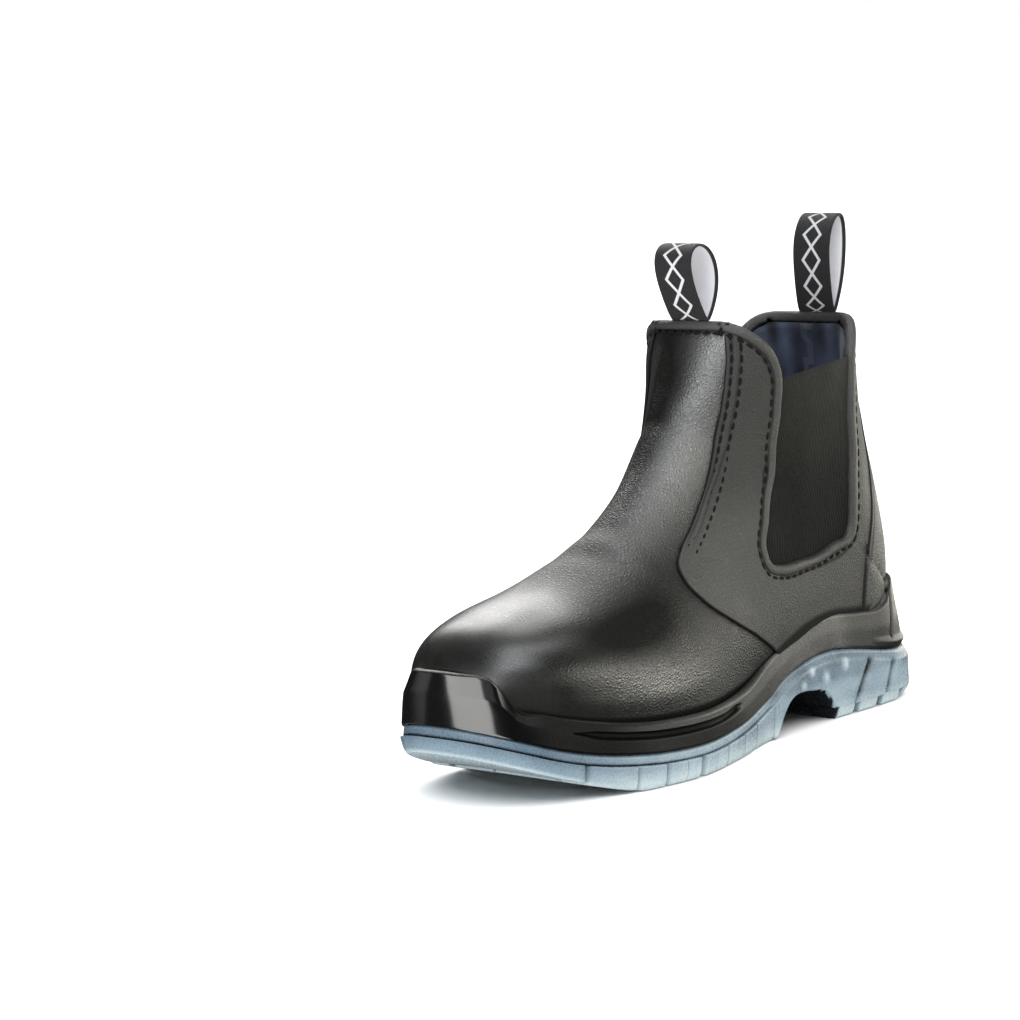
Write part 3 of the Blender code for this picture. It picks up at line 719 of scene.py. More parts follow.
def strapPlace(across, along):
    backRows = np.linspace(heelRow, topRow, strap["samples"])
    backZ = lastColumn("baseZ", backRows)
    z = strap["low"] + along * (backZ[-1] + strap["over"] - strap["low"])
    backX = np.interp(z, backZ, lastColumn("baseX", backRows))
    foot = strap["footKnot"]
    edgeX = curve(strapEdge["z"][foot:], strapEdge["x"][foot:], z) + strap["lap"]
    swing = np.sin((1 - 2 * across) * math.pi / 2)
    row, share = sideRow(backX + (edgeX - backX) * swing ** 2, z)
    inward = (1 - np.abs(swing)) * strap["half"]
    groove = hill(inward, strap["stitchIn"], strap["stitchWide"])
    lip = quarterRound(inward / strap["edgeRound"])
    out = strap["edgeProud"] + (strap["proud"] - strap["edgeProud"]) * lip - strap["sink"] * groove
    seam = strap["seam"] + strap["seamFoot"] * (1 - ease(*strap["seamEnd"], z))
    # Painted shade in the stitch groove and along the back seam, wider at the foot
    dentShade = strap["stitchDent"] * groove + strap["seamDent"] * hill(inward, 0, seam)
    point = skin(np.minimum(row, panel["topRow"]), np.where(swing >= 0, share, -share), out)
    # Painted sheen over the whole strap
    return {"point": point, "dentShade": dentShade, "paintedSheen": strap["paintedSheen"]}


addSheet("backStrap", strap["across"], strap["up"], strapPlace, panelLeather, "back_strap", "back_strap",
         thick=strap["thick"])

# Elastic side panels, running under the leather on three sides
gore = {"across": 120, "up": 120, "under": 3.5, "low": 77.0, "firstTop": 170.0, "sunk": -0.6, "thick": 1.2,
        "wide": 52.0, "tall": 94.0, "bow": 0.8, "ripple": 0.12, "hem": 0.25, "hemAt": 0.975, "hemWide": 0.012,
        "edge": 0.35, "edgeAt": 0.992, "ribPitch": 0.95, "pickPitch": 0.8}
goreTop = table("x z", [
    (46.0, 173.6), (56.0, 173.0), (68.0, 172.4), (80.0, 171.4), (92.0, 170.2), (103.6, 168.6),
    (112.0, 167.4),
])
goreFront = table("z x", [
    (77.0, 127.0), (91.0, 125.5), (101.5, 121.0), (116.5, 114.5), (136.0, 109.5), (154.0, 106.5),
    (170.0, 106.0), (180.0, 108.0),
])
goreRear = table("z x", [
    (77.0, 60.0), (90.5, 59.5), (104.0, 57.5), (137.0, 55.0), (166.0, 53.0), (180.0, 50.0),
])


def gorePlace(hand):
    def place(across, along):
        # Height and station depend on each other, and settle in three rounds
        z = gore["low"] + along * (gore["firstTop"] - gore["low"])
        for _ in range(3):
            front = curve(goreFront["z"], goreFront["x"], z) + gore["under"]
            rear = curve(goreRear["z"], goreRear["x"], z) - gore["under"]
            x = front + (rear - front) * across
            z = gore["low"] + along * (curve(goreTop["x"], goreTop["z"], x) - gore["low"])
        row, share = sideRow(x, z)
        bow = np.sin(across * math.pi) * np.sin(along * math.pi)
        hem = gore["hem"] * hill(along, gore["hemAt"], gore["hemWide"])
        hem = hem - gore["edge"] * ease(gore["edgeAt"], 1.0, along)
        ripple = gore["ripple"] * np.sin(across * 13) * np.sin(along * 9)
        point = skin(row, hand * share, gore["sunk"] - gore["bow"] * bow + hem + ripple)
        return {"point": point, "rib": across * gore["wide"], "rise": along * gore["tall"]}
    return place


def elasticMaterial():
    material, tree, shader = newMaterial("elastic", Specular_IOR_Level=0.12, Sheen_Weight=0.05,
                                         Sheen_Roughness=0.5)
    ridge = wave(tree, attribute(tree, "rib"), gore["ribPitch"])
    picks = wave(tree, attribute(tree, "rise"), gore["pickPitch"])
    tone = useGroup(tree, mottle, Patch=40.0, Speck=1500.0)
    place = setInputs(addNode(tree, "ShaderNodeSeparateXYZ"), Vector=objectPlace(tree)).outputs
    # Painted light and shade: lighter towards the top and darker low down
    climb = mapRange(tree, place["Z"], 0.09, 0.17, -0.4, 0.6)
    mixed = weighted(tree, (ridge, 0.1), (tone["Specks"], 1.0), (climb, 1.0))
    mixed = mathNode(tree, "MULTIPLY", mixed, 0.75, clamp=True)
    colours = [(0.0, (0.0016, 0.0017, 0.0014)), (1.0, (0.0125, 0.0128, 0.0102))]
    setInputs(shader, Base_Color=rampNode(tree, mixed, colours),
              Roughness=between(tree, tone["Patches"], 0.72, 0.9))
    addBump(tree, shader, weighted(tree, (ridge, 0.5), (picks, 0.16)), 0.5, 0.3)
    return material


elastic = elasticMaterial()
for name, hand, node in (("elasticOuter", 1, "gore_lateral"), ("elasticInner", -1, "gore_medial")):
    addSheet(name, gore["across"], gore["up"], gorePlace(hand), elastic, node, "elastic",
             flip=hand < 0, thick=gore["thick"])
print("strap and elastic shaped")

# Lining inside the collar, with its top edge under the folded rim
lining = {"around": 150, "up": 110, "firstRow": 4.0, "set": -3.5, "thick": 0.5, "girth": 130.0, "fold": 0.36,
          "foldStart": (8, 11), "foldEnd": (15.2, 15.8), "foldShade": -0.2, "loopSink": 1.4,
          "loopRows": (11.0, 12.5), "backLoop": (0.84, 0.92), "frontLoop": (0.08, 0.16)}
liningFolds = records("weight waves slant", [(1.0, 14, 1.3), (0.8, 22, -2.1), (0.6, 6, 3.4)])
liningTop = table("turn row", [
    (0.0, 15.85), (0.08, 15.82), (0.15, 15.5), (0.21, 15.15), (0.28, 14.75), (0.33, 14.25), (0.37, 13.7),
    (0.43, 14.25), (0.50, 14.65), (0.61, 14.9), (0.66, 15.2), (0.70, 15.45), (0.78, 15.72), (0.86, 15.85),
    (1.0, 15.85),
])


def liningPlace(across, along):
    turn = 2 * across - 1
    aside = np.abs(turn)
    top = np.interp(aside, liningTop["turn"], liningTop["row"])
    row = lining["firstRow"] + (top - lining["firstRow"]) * along
    fold = sum(part["weight"] * np.sin(turn * part["waves"] * math.pi + row * part["slant"])
               for part in liningFolds)
    loose = ease(*lining["foldStart"], row) * (1 - ease(*lining["foldEnd"], row))
    # Deeper behind the ends of the pull loops
    ends = ease(*lining["backLoop"], aside) + 1 - ease(*lining["frontLoop"], aside)
    sunk = lining["loopSink"] * ends * ease(*lining["loopRows"], row)
    point = skin(row, turn, lining["set"] + lining["fold"] * fold * loose - sunk)
    # The fold measure carries painted shade and light that follow the folds
    return {"point": point, "along": turn * lining["girth"], "across": point[:, 2],
            "fold": lining["foldShade"] * fold}


def clothMaterial(name, dark, light, pitch, sheen):
    # Close woven cloth whose threads follow two measures of the piece
    material, tree, shader = newMaterial(name, Specular_IOR_Level=0.35, Sheen_Weight=sheen,
                                         Sheen_Roughness=0.4)
    cloth = useGroup(tree, weave, Pitch=pitch, Along=attribute(tree, "along"),
                     Across=attribute(tree, "across"))
    tone = useGroup(tree, mottle, Patch=45.0, Speck=900.0)
    # Painted shade and light on the folds, from the fold measure
    mixed = weighted(tree, (cloth["Thread"], 0.35), (tone["Patches"], 0.65), (attribute(tree, "fold"), 1.0),
                     clamp=True)
    setInputs(shader, Base_Color=rampNode(tree, mixed, [(0.0, dark), (1.0, light)]),
              Roughness=between(tree, tone["Patches"], 0.5, 0.68))
    addBump(tree, shader, cloth["Height"], 0.5, 0.25)
    return material


liningCloth = clothMaterial("lining cloth", (0.002, 0.003, 0.008), (0.056, 0.071, 0.122), 1.1, 0.25)
addSheet("liningCloth", lining["around"], lining["up"], liningPlace, liningCloth, "upper", "insole",
         flip=True, thick=lining["thick"])

# Section of the folded rim, and both sides of it in one closed run
rimProfile = table("inward out", [
    (4.6, 1.45), (4.2, 1.85), (3.5, 2.1), (2.5, 2.25), (1.5, 2.25), (0.6, 2.05), (-0.15, 1.5),
    (-0.55, 0.5), (-0.65, -0.8), (-0.4, -2.0), (0.3, -2.8), (1.4, -3.15), (3.0, -3.25), (4.4, -3.1),
    (4.5, -2.7), (3.0, -2.4), (1.3, -2.0), (0.8, -0.8), (0.9, 0.5), (2.0, 1.0), (4.0, 1.1), (4.6, 1.45),
])


def rimPath(hand):
    rows, shares = sideRow(goreEdge["x"][1:-1], goreEdge["z"][1:-1])
    rows = [topRow] * len(rim["frontTurns"]) + list(rows) + [topRow] * len(rim["backTurns"])
    shares = [*rim["frontTurns"], *shares, *rim["backTurns"]]
    return surfacePath(rows, [hand * share for share in shares])


def rimPlace(hand):
    path = rimPath(hand)
    stops = np.linspace(0, 1, len(rimProfile["out"]))

    def place(across, along):
        inward = np.interp(across, stops, rimProfile["inward"])
        out = np.interp(across, stops, rimProfile["out"])
        row, turn, leftward = besidePath(path, along * path["length"], -hand * np.maximum(inward, 0))
        beyond = leftward * (hand * np.maximum(-inward, 0))[:, None]
        # Painted shade along the rim's stitch line
        dentShade = rim["dentShade"] * hill(inward, rim["dentIn"], rim["dentWide"])
        return {"point": skin(row, turn, out) + beyond, "dentShade": dentShade}
    return place


def buildRim():
    mesh = bmesh.new()
    for hand in (1, -1):
        sheet(mesh, len(rimProfile["out"]) - 1, rim["steps"], rimPlace(hand))
    addPiece("foldedRim", mesh, rimLeather, "upper", "quarters", closed=True)


buildRim()
print("lining and rim shaped")

# Thread: one small rounded stitch laid again and again along a path on the leather
stitch = {"pitch": 5.2, "size": (4.2, 1.7, 1.1), "reach": 0.8, "rimOut": 1.5, "seamSink": 0.35,
          "seamShares": (0.03, 0.33), "seamSamples": 400, "seamSkip": 12, "samples": (900, 700)}


def readAlong(at, run, values):
    return np.array([np.interp(at, run, values[:, axis]) for axis in range(3)])


def stitchRun(mesh, rows, turns, out):
    points = skin(rows, turns, out)
    normals = skinNormal(rows, turns)
    run = runLengths(points)
    half = np.array(stitch["size"]) * 0.5 * millimetre
    count = int(run[-1] / stitch["pitch"])
    for at in (np.arange(count) + 0.5) * run[-1] / count:
        ahead = readAlong(at + stitch["reach"], run, points)
        behind = readAlong(at - stitch["reach"], run, points)
        forward = unitVector(ahead - behind)
        aside = unitVector(np.cross(readAlong(at, run, normals), forward))
        axes = np.stack([forward, aside, np.cross(forward, aside)], axis=1) * half
        laid = Matrix(axes.tolist()).to_4x4()
        laid.translation = Vector((readAlong(at, run, points) + shift) * millimetre)
        bmesh.ops.create_icosphere(mesh, subdivisions=2, radius=1.0, matrix=laid)


def threadMaterial():
    material, tree, shader = newMaterial("thread", Specular_IOR_Level=0.08)
    specks = useGroup(tree, mottle, Patch=300.0, Speck=2600.0)["Specks"]
    colours = [(0.0, (0.003, 0.003, 0.003)), (1.0, (0.010, 0.010, 0.010))]
    setInputs(shader, Base_Color=rampNode(tree, specks, colours), Roughness=between(tree, specks, 0.55, 0.7))
    addBump(tree, shader, specks, 0.5, 0.2)
    return material


def buildStitches():
    mesh = bmesh.new()
    rimSamples, seamSamples = stitch["samples"]
    shares = np.linspace(*stitch["seamShares"], stitch["seamSamples"])[::stitch["seamSkip"]]
    seamRow, seamTurn = panelLine(outerPath, "outerRow", shares)
    for hand in (1, -1):
        path = rimPath(hand)
        at = np.linspace(0, path["length"], rimSamples)
        row, turn = besidePath(path, at, -hand * rim["stitchIn"])[:2]
        stitchRun(mesh, row, turn, stitch["rimOut"])
        seam = surfacePath(seamRow, hand * seamTurn)
        at = np.linspace(0, seam["length"], seamSamples)
        for line in panel["rows"]:
            row, turn = besidePath(seam, at, hand * line)[:2]
            stitchRun(mesh, row, turn, panel["proud"] - stitch["seamSink"])
    addPiece("stitching", mesh, threadMaterial(), "upper", "quarters")


buildStitches()
print("stitches laid")

# Pull loops: a folded tape, black outside and white on its reverse
tape = {"wide": 22.0, "thick": 1.5, "round": 90, "girth": 40, "gap": 0.3, "edgePower": 0.16, "facePower": 0.5,
        "spreadPower": 0.7, "leanPower": 1.5, "curl": 0.5, "sway": 0.6, "swayPitch": 9.0, "girthShare": 2.4,
        "lozenge": 5.0, "line": (0.7, 1.1), "border": (9.0, 9.6)}
loops = records("name node x y z tall bulge lean spread", [
    ("pullLoopFront", "pull_loop_front", 126.5, 1.2, 197.0, 37.0, 12.6, 3.0, 0.25),
    ("pullLoopBack", "pull_loop_back", 33.0, 4.5, 191.0, 48.0, 8.6, -8.0, 0.30),
])


def loopPlace(size):
    def place(across, along):
        # Across runs round the section of the tape, along runs round the loop
        girth = across * 2 * math.pi
        edge = np.sign(np.cos(girth)) * np.abs(np.cos(girth)) ** tape["edgePower"]
        face = np.sign(np.sin(girth)) * np.abs(np.sin(girth)) ** tape["facePower"]
        thin = tape["thick"] * (0.5 - 0.5 * face)
        angle = -math.pi + 2 * math.pi * along
        climb = (1 + np.cos(angle)) / 2
        spread = size["spread"] + (1 - size["spread"]) * climb ** tape["spreadPower"]
        out = (size["bulge"] - thin) * np.sin(angle) * spread
        height = thin + (size["tall"] - 2 * thin) * climb
        curl = tape["curl"] * edge ** 2 * np.sin(angle)
        lean = size["lean"] * (height / size["tall"]) ** tape["leanPower"]
        aside = edge * tape["wide"] / 2
        y = size["y"] + aside + tape["sway"] * np.sin(height / tape["swayPitch"])
        point = np.stack([size["x"] + out + curl + lean, y, size["z"] + tape["gap"] + height], axis=-1)
        return {"point": point, "along": along * tape["girthShare"] * size["tall"], "across": aside,
                "reverse": thin / tape["thick"]}
    return place


def tapeMaterial():
    # Woven tape with a plain chain of lozenges in place of any marking
    material, tree, shader = newMaterial("woven tape", Specular_IOR_Level=0.3, Sheen_Weight=0.1)
    along = attribute(tree, "along")
    across = attribute(tree, "across")
    cloth = useGroup(tree, weave, Pitch=0.9, Along=along, Across=across)
    aside = mathNode(tree, "ABSOLUTE", across)
    off = mathNode(tree, "SUBTRACT", aside, mathNode(tree, "PINGPONG", along, tape["lozenge"]))
    chain = mapRange(tree, mathNode(tree, "ABSOLUTE", off), *tape["line"], 1.0, 0.0)
    reverse = mapRange(tree, attribute(tree, "reverse"), 0.55, 0.75)
    white = mathNode(tree, "MAXIMUM", mathNode(tree, "MULTIPLY", chain, 0.8), reverse)
    white = mathNode(tree, "MULTIPLY", white, mapRange(tree, aside, *tape["border"], 1.0, 0.0))
    white = mathNode(tree, "MULTIPLY", white, mapRange(tree, cloth["Height"], 0.0, 0.5, 0.7, 1.0))
    colours = [(0.0, (0.008, 0.008, 0.009)), (1.0, (0.62, 0.62, 0.65))]
    tone = useGroup(tree, mottle, Patch=120.0, Speck=1500.0)
    setInputs(shader, Base_Color=rampNode(tree, white, colours),
              Roughness=between(tree, tone["Specks"], 0.55, 0.75))
    addBump(tree, shader, cloth["Height"], 0.6, 0.25)
    return material


wovenTape = tapeMaterial()
for size in loops:
    addSheet(size["name"], tape["girth"], tape["round"], loopPlace(size), wovenTape, size["node"], "tape",
             closed=True)
print("pull loops folded")

# Midsole: a moulded wall round the foot, with a side channel, a toe bumper and a heel cup
midsole = {"round": 620, "girth": 130, "gap": 0.3, "reach": 14.0, "inset": 0.3, "draft": 0.7,
           "draftFrom": 0.45, "ledgeDrop": 1.7, "lipRound": 1.7, "footRound": 1.3,
           "wallEnd": 0.62, "ledge": (0.62, 0.2), "inner": (0.82, 0.1), "back": (0.92, 0.08),
           "levels": (0.06, 0.62, 1.0),
           "heelEnd": (32, 50), "beadOut": 1.0, "beadAt": 3.4, "beadWide": 1.7,
           "leanX": (272, 298), "leanFrom": 0.62,
           "ribAt": 33.5, "ribLean": 8.5, "ribWide": 1.5, "ribDeep": 1.2, "ribFrom": (0.2, 0.3),
           "channelHalf": 1.9, "channelDeep": 2.2, "channelStart": 168.0, "channelEnd": 272.0,
           "channelIn": 5.0, "channelOut": 12.0, "channelAt": 0.60, "channelRise": 1.2, "riseEnd": 186.0}
# Where the foam gets a painted highlight or painted sheen, is darker or coated, by stations along the sole
foamMarks = {"lipEnd": (262, 276), "waist": (58, 76, 122, 150), "bumper": (282, 296),
             "outerCoat": (293.5, 298.0), "ahead": (205, 262), "lower": (150, 185)}


def stationAt(share):
    # Closer steps at the heel and the toe
    return boot["length"] / 2 * (1 - np.cos(math.pi * share))


def soleStation(across):
    # Station and hand of a place round the outline: outer side heel to toe, then inner side back
    hand = np.where(across <= 0.5, 1.0, -1.0)
    return stationAt(np.where(across <= 0.5, 2 * across, 2 - 2 * across)), hand


def solePoint(station, side, inset, height, ends):
    # Side runs from -1 at the inner edge to 1 at the outer edge
    x = inset + station * (boot["length"] - 2 * inset) / boot["length"]
    axis, half = outline(x, inset, ends)
    return np.stack([x, axis + side * half, height], axis=-1)


def roundOff(far, radius):
    # How far a rounded edge draws in at a distance from the edge
    return radius * (1 - quarterRound(far / radius))


def sectionShare(name, along):
    # Share of one stretch of the section, given by its start and its run
    start, run = midsole[name]
    return np.clip((along - start) / run, 0, 1)


def channelDepth(station, climb, tall):
    # Side channel: round at its rear end, tapering to the toe
    entry = ramp(midsole["channelStart"], midsole["channelStart"] + midsole["channelIn"], station)
    leave = ramp(midsole["channelEnd"], midsole["channelEnd"] - midsole["channelOut"], station)
    half = midsole["channelHalf"] * quarterRound(entry) * leave + 0.01
    rise = 1 - ease(midsole["channelStart"], midsole["riseEnd"], station)
    middle = midsole["channelAt"] * tall + midsole["channelRise"] * rise
    return np.clip(1 - ((climb - middle) / half) ** 4, 0, 1) * ease(0, 0.3, entry * leave)


def midsolePlace(across, along):
    # Round the section: up the outer wall, in over the ledge, down inside and back underneath
    station, hand = soleStation(across)
    join = sideHeight("join", station) + midsole["gap"]
    tall = sideHeight("top", station) - join
    climb = ramp(0, midsole["wallEnd"], along) * tall
    share = climb / tall
    heel = 1 - ease(*midsole["heelEnd"], station)
    bead = midsole["beadOut"] * heel
    inset = midsole["inset"] + midsole["draft"] * ease(midsole["draftFrom"], 1.0, share)
    lean = ramp(*midsole["leanX"], station) * ramp(midsole["leanFrom"], 1, share)
    inset = inset + boot["toeLean"] * lean
    inset = inset + roundOff(climb, midsole["footRound"]) + roundOff(tall - climb, midsole["lipRound"])
    inset = inset - bead * hill(climb, midsole["beadAt"], midsole["beadWide"])
    ribAt = midsole["ribAt"] - midsole["ribLean"] * share
    rib = hill(station, ribAt, midsole["ribWide"]) * ease(*midsole["ribFrom"], share)
    channel = channelDepth(station, climb, tall)
    inset = inset + midsole["ribDeep"] * rib + midsole["channelDeep"] * channel
    wall = along < midsole["wallEnd"]
    ledge = sectionShare("ledge", along)
    inset = np.where(along > midsole["wallEnd"], inset + (midsole["reach"] - inset) * ledge, inset)
    height = climb - midsole["ledgeDrop"] * ease(0.05, 0.6, ledge) * (along > midsole["wallEnd"])
    height = height * (1 - sectionShare("inner", along))
    back = sectionShare("back", along)
    under = along > midsole["back"][0]
    start = midsole["inset"] + midsole["footRound"] - bead * hill(0.0, midsole["beadAt"], midsole["beadWide"])
    inset = np.where(under, midsole["reach"] + (start - midsole["reach"]) * back, inset)
    ends = blendEnds(np.where(under, 1 - back, share), midsole["levels"], ["join", "middle", "top"])
    point = solePoint(station, hand, inset, join + height, ends)
    # Painted shade in the rib and the channel, and at the foot of the heel wall under the bead
    dentShade = np.maximum(np.maximum(rib, channel), heel * hill(climb, 0.0, 1.0)) * wall
    return {"point": point, **foamShades(station, hand, share, along, tall - climb, heel, dentShade)}


def foamShades(station, hand, share, along, below, heel, dentShade):
    front = along < 0.6
    # Painted highlight along the top lip of the wall
    lip = hill(below, 0.5, 1.2) * (along < 0.7) * (1 - ease(*foamMarks["lipEnd"], station))
    # Painted sheen over the waist
    waist = ease(*foamMarks["waist"][:2], station) * (1 - ease(*foamMarks["waist"][2:], station))
    toe = ease(*foamMarks["bumper"], station) * front
    coat = np.where(hand > 0, ease(*foamMarks["outerCoat"], station) * front, toe)
    # Darker towards the toe and low on the forefoot wall
    ahead = ease(*foamMarks["ahead"], station)
    lower = ease(0.55, 0.4, share) * ease(*foamMarks["lower"], station)
    pale = 0.3 * lip + 0.34 * waist - 0.1 * heel - 0.35 * ahead
    dentShade = np.maximum(dentShade, np.maximum(0.75 * ahead, 0.3 * lower) * front)
    return {"toe": toe, "coat": coat, "dentShade": dentShade, "pale": pale}


def foamMaterial():
    material, tree, shader = newMaterial("midsole foam", IOR=1.6, Coat_Roughness=0.15, Coat_IOR=1.7)
    toe = attribute(tree, "toe")
    plain = mathNode(tree, "MAXIMUM", attribute(tree, "dentShade"), toe)
    tone = useGroup(tree, mottle, Patch=30.0, Speck=1300.0)
    mixed = weighted(tree, (tone["Patches"], 0.25), (tone["Specks"], 0.25), (attribute(tree, "pale"), 1.0),
                     (plain, -1.0), clamp=True)
    colours = [(0.0, (0.003, 0.003, 0.003)), (0.5, (0.028, 0.0277, 0.0264)), (1.0, (0.11, 0.109, 0.104))]
    rough = weighted(tree, (toe, -0.27), start=between(tree, tone["Patches"], 0.36, 0.46))
    setInputs(shader, Base_Color=rampNode(tree, mixed, colours), Roughness=rough,
              Specular_IOR_Level=between(tree, plain, 0.55, 0.06),
              Coat_Weight=between(tree, attribute(tree, "coat"), 0.0, 0.9))
    # The bumper's smooth skin mirrors as one straight, slightly leaning wall
    facing = addNode(tree, "ShaderNodeNewGeometry").outputs["Normal"]
    level = vectorNode(tree, "MULTIPLY_ADD", facing, (1, 1, 0), (0, 0, 0.16))
    setInputs(shader, Coat_Normal=vectorNode(tree, "NORMALIZE", level))
    calm = weighted(tree, (toe, -0.85), start=1.0)
    addBump(tree, shader, mathNode(tree, "MULTIPLY", tone["Specks"], calm), 0.35, 0.15)
    return material


addSheet("midsoleWall", midsole["round"], midsole["girth"], midsolePlace, foamMaterial(), "midsole",
         "midsole", closed=True)
print("midsole moulded")

# Outsole: a plate with a plain band under the midsole, and rounded lugs below it
outsole = {"round": 480, "wall": 26, "across": 40, "treadDeep": 5.0, "treadLap": 1.0, "band": 5.0,
           "bandLap": 0.3, "proud": 1.2, "leastProud": 0.25, "proudX": (96, 116), "capInset": 0.9,
           "notch": 6.0, "lugX": (128, 134), "hollowX": (75.5, 77, 134, 136), "lowRound": 1.4,
           "topRound": 1.3, "slantWide": 1.7, "dotOut": 0.6, "dotSquash": 1.25, "lugRound": 0.7,
           "lugCuts": 11, "floorInset": 3.2, "heelInset": 4.6, "heelFade": 30.0, "footRise": 3.5,
           "headInset": 0.9, "breastX": (75.2, 77.4, 79.0), "sweepHalf": 56.0, "halfWidth": 52.0}
crossGrooves = records("x outerSweep innerSweep wide notch", [
    (276, 14, 10, 5.0, 2.8), (254, 26, 9, 6.0, 2.4), (232, 25, 9, 6.0, 4.2), (209, 26, 9, 6.0, 2.2),
    (187, 24, 8, 6.0, 2.2), (166, 21, 6, 5.5, 2.2),
])
edgeSlits = records("x hand wide", [
    (244, 1, 2.0), (217, 1, 0.6), (195, 1, 0.7), (173, 1, 0.6), (256, -1, 1.4), (234, -1, 1.4),
])
slit = {"outerLean": 9.0, "innerLean": 3.0, "from": 17.0, "run": 29.0}
lugColumns = records("low high hand edge", [
    (0.70, 1.0, 1, True), (0.02, 0.625, 1, False), (-0.565, -0.02, -1, False), (-1.0, -0.635, -1, True),
])
lugRear = 127.5
heelGrooves = {"places": (24.0, 43.0, 61.0), "wide": 5.0, "from": 0.57, "lap": 0.03, "rear": 20.0,
               "front": 77.5, "middleSize": (56.0, 46.0, 6.0), "edgeSize": (14.0, 17.0, 6.0)}
endPlate = {"across": 48, "ahead": 30, "round": 60, "rise": 20}
# Height of the hollow under the waist above the floor line, at the depth of the tread on both sides
shankEdge = table("x z", [
    (76.0, 5.0), (78.5, 6.5), (81.5, 12.0), (87.0, 15.8), (95.0, 17.3), (104.0, 18.0), (111.0, 16.8),
    (116.5, 13.2), (121.5, 7.5), (126.5, 1.0), (128.0, 0.3), (131.5, 4.0), (134.0, 5.0),
])
# Slanted grooves on the sides of the heel, and pale raised dots on the outer waist
heelSlants = records("x z endX endZ deep", [(50.5, 24.0, 62.5, 5.0, 1.3), (31.5, 19.5, 37.5, 6.0, 1.1)])
waistDots = records("x z wide", [(70.0, 26.0, 2.3), (85.0, 22.0, 2.6), (96.0, 26.5, 2.0), (103.0, 21.0, 1.8)])


def plateLow(x):
    # Underside of the plate: above the lugs, and hollow under the waist
    return sideHeight("floor", x) + curve(shankEdge["x"], shankEdge["z"], x)


def bandStep(station):
    return outsole["proud"] * np.maximum(outsole["leastProud"], ramp(*outsole["proudX"], station))


def slantDepth(station, height):
    # How deep the slanted grooves are at a place on the side wall
    total = np.zeros(station.shape)
    for slant in heelSlants:
        start = np.array([slant["x"], slant["z"]])
        run = np.array([slant["endX"], slant["endZ"]]) - start
        offset = np.stack([station, height], axis=-1) - start
        along = np.clip((offset @ run) / (run @ run), 0, 1)
        apart = np.linalg.norm(offset - along[:, None] * run, axis=1)
        total = total + slant["deep"] * hill(apart, 0, outsole["slantWide"])
    return total


def dotRise(station, height):
    total = np.zeros(station.shape)
    for dot in waistDots:
        apart = np.hypot((station - dot["x"]) * outsole["dotSquash"], height - dot["z"])
        total = total + hill(apart, 0, dot["wide"])
    return total


def plateWall(across, along):
    station, hand = soleStation(across)
    join = sideHeight("join", station)
    low = plateLow(station)
    height = low + (join - low) * along
    lugZone = ease(*outsole["lugX"], station)
    below = ease(outsole["band"] + 0.5, outsole["band"] - 0.5, join - height)
    bare = outsole["notch"] * lugZone
    inset = bare + (bandStep(station) - bare) * below
    inset = inset + roundOff(height - low, outsole["lowRound"]) * (1 - lugZone)
    slant = slantDepth(station, height)
    dots = dotRise(station, height) * (hand > 0)
    inset = inset + roundOff(join - height, outsole["topRound"]) + slant - outsole["dotOut"] * dots
    ends = blendEnds((join - height) / outsole["band"], [0.0, 1.0], ["join", "floor"])
    point = solePoint(station, hand, inset, height, ends)
    # Painted shade between the lugs, along the foot of the band and in the slanted grooves
    step = 0.45 * hill(join - height, outsole["band"] - 0.6, 0.7) * ease(120, 150, station)
    deep = (1 - below) * lugZone + step + 0.3 * slant
    return {"point": point, "low": height - sideHeight("floor", station), "deep": deep, "mark": dots}


def plateCap(top):
    def place(across, along):
        station = stationAt(along)
        lugZone = ease(*outsole["lugX"], station)
        if top:
            inset = bandStep(station) + outsole["capInset"]
            height = sideHeight("join", station)
        else:
            inset = outsole["notch"] * lugZone + outsole["lowRound"] * (1 - lugZone)
            height = plateLow(station)
        point = solePoint(station, 2 * across - 1, inset, height, soleEnds["join" if top else "floor"])
        # Painted shade on the underside between the lugs and in the hollow under the waist
        hollow = ease(*outsole["hollowX"][:2], station) * (1 - ease(*outsole["hollowX"][2:], station))
        deep = 0.0 if top else np.maximum(lugZone, hollow)
        return {"point": point, "low": height - sideHeight("floor", station), "deep": deep}
    return place


def grooveX(groove, y, aside):
    share = np.abs(y) / outsole["sweepHalf"]
    swept = np.where(y > 0, groove["outerSweep"] * share ** 1.15, groove["innerSweep"] * share ** 2)
    return groove["x"] - swept + aside


def edgeInset(rise, tall, floorInset):
    # Profile of the outer wall of a lug, from the floor up to the plain band
    footRise = outsole["footRise"]
    foot = ramp(0, footRise, rise)
    head = np.clip((rise - footRise) / np.maximum(tall - footRise, 0.1), 0, 1)
    return floorInset + (outsole["headInset"] - floorInset) * np.sqrt(foot) - outsole["headInset"] * head


def lugWarp(values, size):
    # Unit steps of a box drawn towards its ends, so that two rows round each edge
    steps = outsole["lugCuts"] + 1
    radius = outsole["lugRound"] / size
    stops = np.concatenate([[0, 0.35 * radius, radius], np.linspace(radius, 1 - radius, steps - 3)[1:-1],
                            [1 - radius, 1 - 0.35 * radius, 1]])
    return np.interp(values, np.linspace(0, 1, steps + 1), stops)


